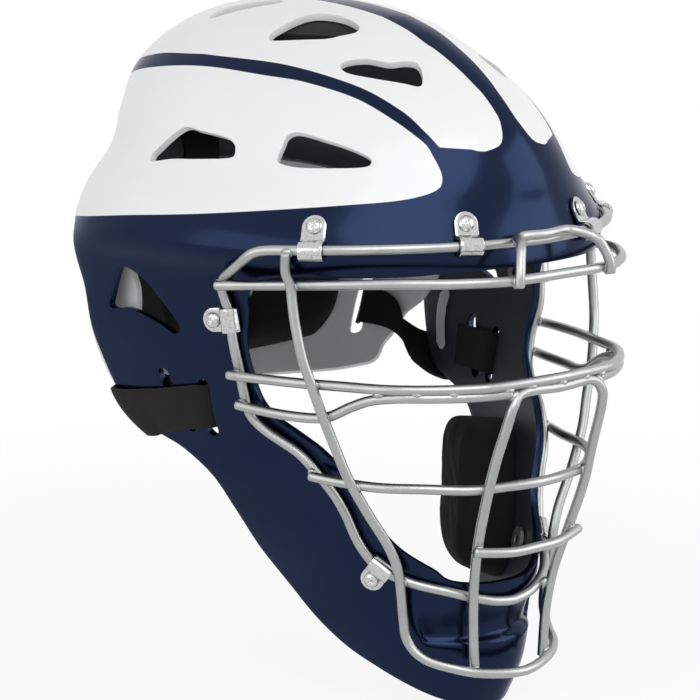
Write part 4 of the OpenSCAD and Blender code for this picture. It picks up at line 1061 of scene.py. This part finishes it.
def addTape(name, rows, width):
    rows = np.array(rows)
    down, over = rows.shape[0] - 1, rows.shape[1] - 1
    along = lengths(rows.mean(axis=1))
    bm = bmesh.new()
    bmesh.ops.create_grid(bm, x_segments=over, y_segments=down, size=0.5)
    spots = {v: (round((v.co.x + 0.5) * over), round((v.co.y + 0.5) * down)) for v in bm.verts}
    layUv(bm, {v: ((i / over - 0.5) * width, along[j]) for v, (i, j) in spots.items()})
    for v, (i, j) in spots.items():
        v.co = Vector(rows[j, i]) * mm
    bmesh.ops.recalc_face_normals(bm, faces=bm.faces[:])
    tape = meshPiece("tape_" + name, bm, finishes["tape"])
    thicken(tape, strap["sheet"], 0)
    roundEdges(tape, strap["edge"], 2)
    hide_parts(name)
    return tape


def bentOver(three, share):  # value at the tape's upper edge, its slope and its bend
    return three[0] + three[1] * share + three[2] * share**2


def sideStrapRow(angle, off, rise):
    share = np.linspace(0, 1, strap["columns"])
    pull = float(ramp(*strap["pullFrom"], angle) * ramp(*strap["pullTo"], angle))
    turn = (angle + bentOver(strap["lean"], share) * float(ramp(*strap["leanFrom"], angle))
            + bentOver(strap["pull"], share) * pull
            + bentOver(strap["tilt"], share) * float(ramp(*strap["tiltFrom"], angle)))
    bow = (strap["bow"] * (1 - (2 * share - 1) ** 2) * float(ramp(*strap["bowFrom"], angle))
           * float(ramp(*strap["bowTo"], angle)))
    return skin(turn, strap["head"] - share * strap["width"] + rise, off + bow)


def addStraps():
    rows = [sideStrapRow(*point) for point in curvePoints(strapRoute, 6)]
    for side in (1, -1):
        mine = [row * [side, 1, 1] for row in rows]
        tape = addTape("side_strap_" + ("left" if side > 0 else "right"), mine, strap["width"])
        front, rear = (mine[k].mean(axis=0) * mm for k in strap["blendRows"])
        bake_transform(tape)
    turns = np.linspace(-crownStrap["turn"], crownStrap["turn"], strap["columns"])
    rows = [[skin(180 + turn, z, -helmet["wall"] - off) for turn in turns]
            for z, off in curvePoints(crownStrap["route"], 6)]
    tape = addTape("crown_strap", rows, crownStrap["width"])
    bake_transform(tape)
    print("straps ready")


addStraps()

# CAD pieces that stay keep their form and get a finish
staying = {"clip_nuts": "zinc", "strap_rivets": "zinc", "plate_rivets": "zinc", "edge_patch": "patch"}


def dressStaying():
    for node, finish in staying.items():
        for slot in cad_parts[node].material_slots:
            slot.material = finishes[finish]
    print("staying pieces dressed")


dressStaying()

# Lamps: place, watts and size
room = {"floorLow": -138.5, "floorSize": 6, "floorWhite": 0.92, "whiteShare": 0.88,
        "whiteFrom": (0.25, 0.7), "worldLight": 0.45,
        "lamps": {"key": ((-0.9, -1.6, 1.7), 29, 2.0), "fill": ((-1.9, 0.1, 0.6), 10, 1.7),
                  "right": ((1.4, -1.4, 0.7), 14, 1.5)}}


def addFloor():
    bm = bmesh.new()
    bmesh.ops.create_grid(bm, x_segments=2, y_segments=2, size=room["floorSize"])
    bmesh.ops.translate(bm, vec=(0, 0, room["floorLow"] * mm), verts=bm.verts[:])
    f = Finish("paleFloor", Roughness=0.9, Base_Color=grey(room["floorWhite"]), Specular_IOR_Level=0.0)
    glow = f.node("Emission", {}, {"Color": grey(1.0), "Strength": 1.0})
    run = f.node("VectorMath", {"operation": "LENGTH"}, {0: f.place()}, out=1)
    share = f.seen() * (room["whiteShare"] + run.between(*room["whiteFrom"]) * (1 - room["whiteShare"]))
    f.put(f.tree.nodes["Material Output"].inputs[0],
          f.node("MixShader", {}, {0: share, 1: Value(f, f.shader.outputs[0]), 2: glow}))
    meshPiece("paleFloor", bm, f.material, smooth=False)


def addWorld():  # white where it is looked at, softer where it lights
    world = bpy.data.worlds.new("studio")
    scene.world = world
    world.use_nodes = True
    nodes = Nodes(world.node_tree)
    colour, strength = world.node_tree.nodes["Background"].inputs[:2]
    nodes.put(colour, grey(1.0))
    nodes.put(strength, room["worldLight"] + nodes.seen() * (1 - room["worldLight"]))


def addLamps():
    for name, (place, watts, size) in room["lamps"].items():
        lamp = bpy.data.objects.new(name, bpy.data.lights.new(name, "AREA"))
        lamp.data.energy, lamp.data.size = watts, size
        lamp.location = place
        lamp.rotation_euler = (-Vector(place)).to_track_quat("-Z", "Y").to_euler()
        scene.collection.objects.link(lamp)


addFloor()
addWorld()
addLamps()
print("room ready")
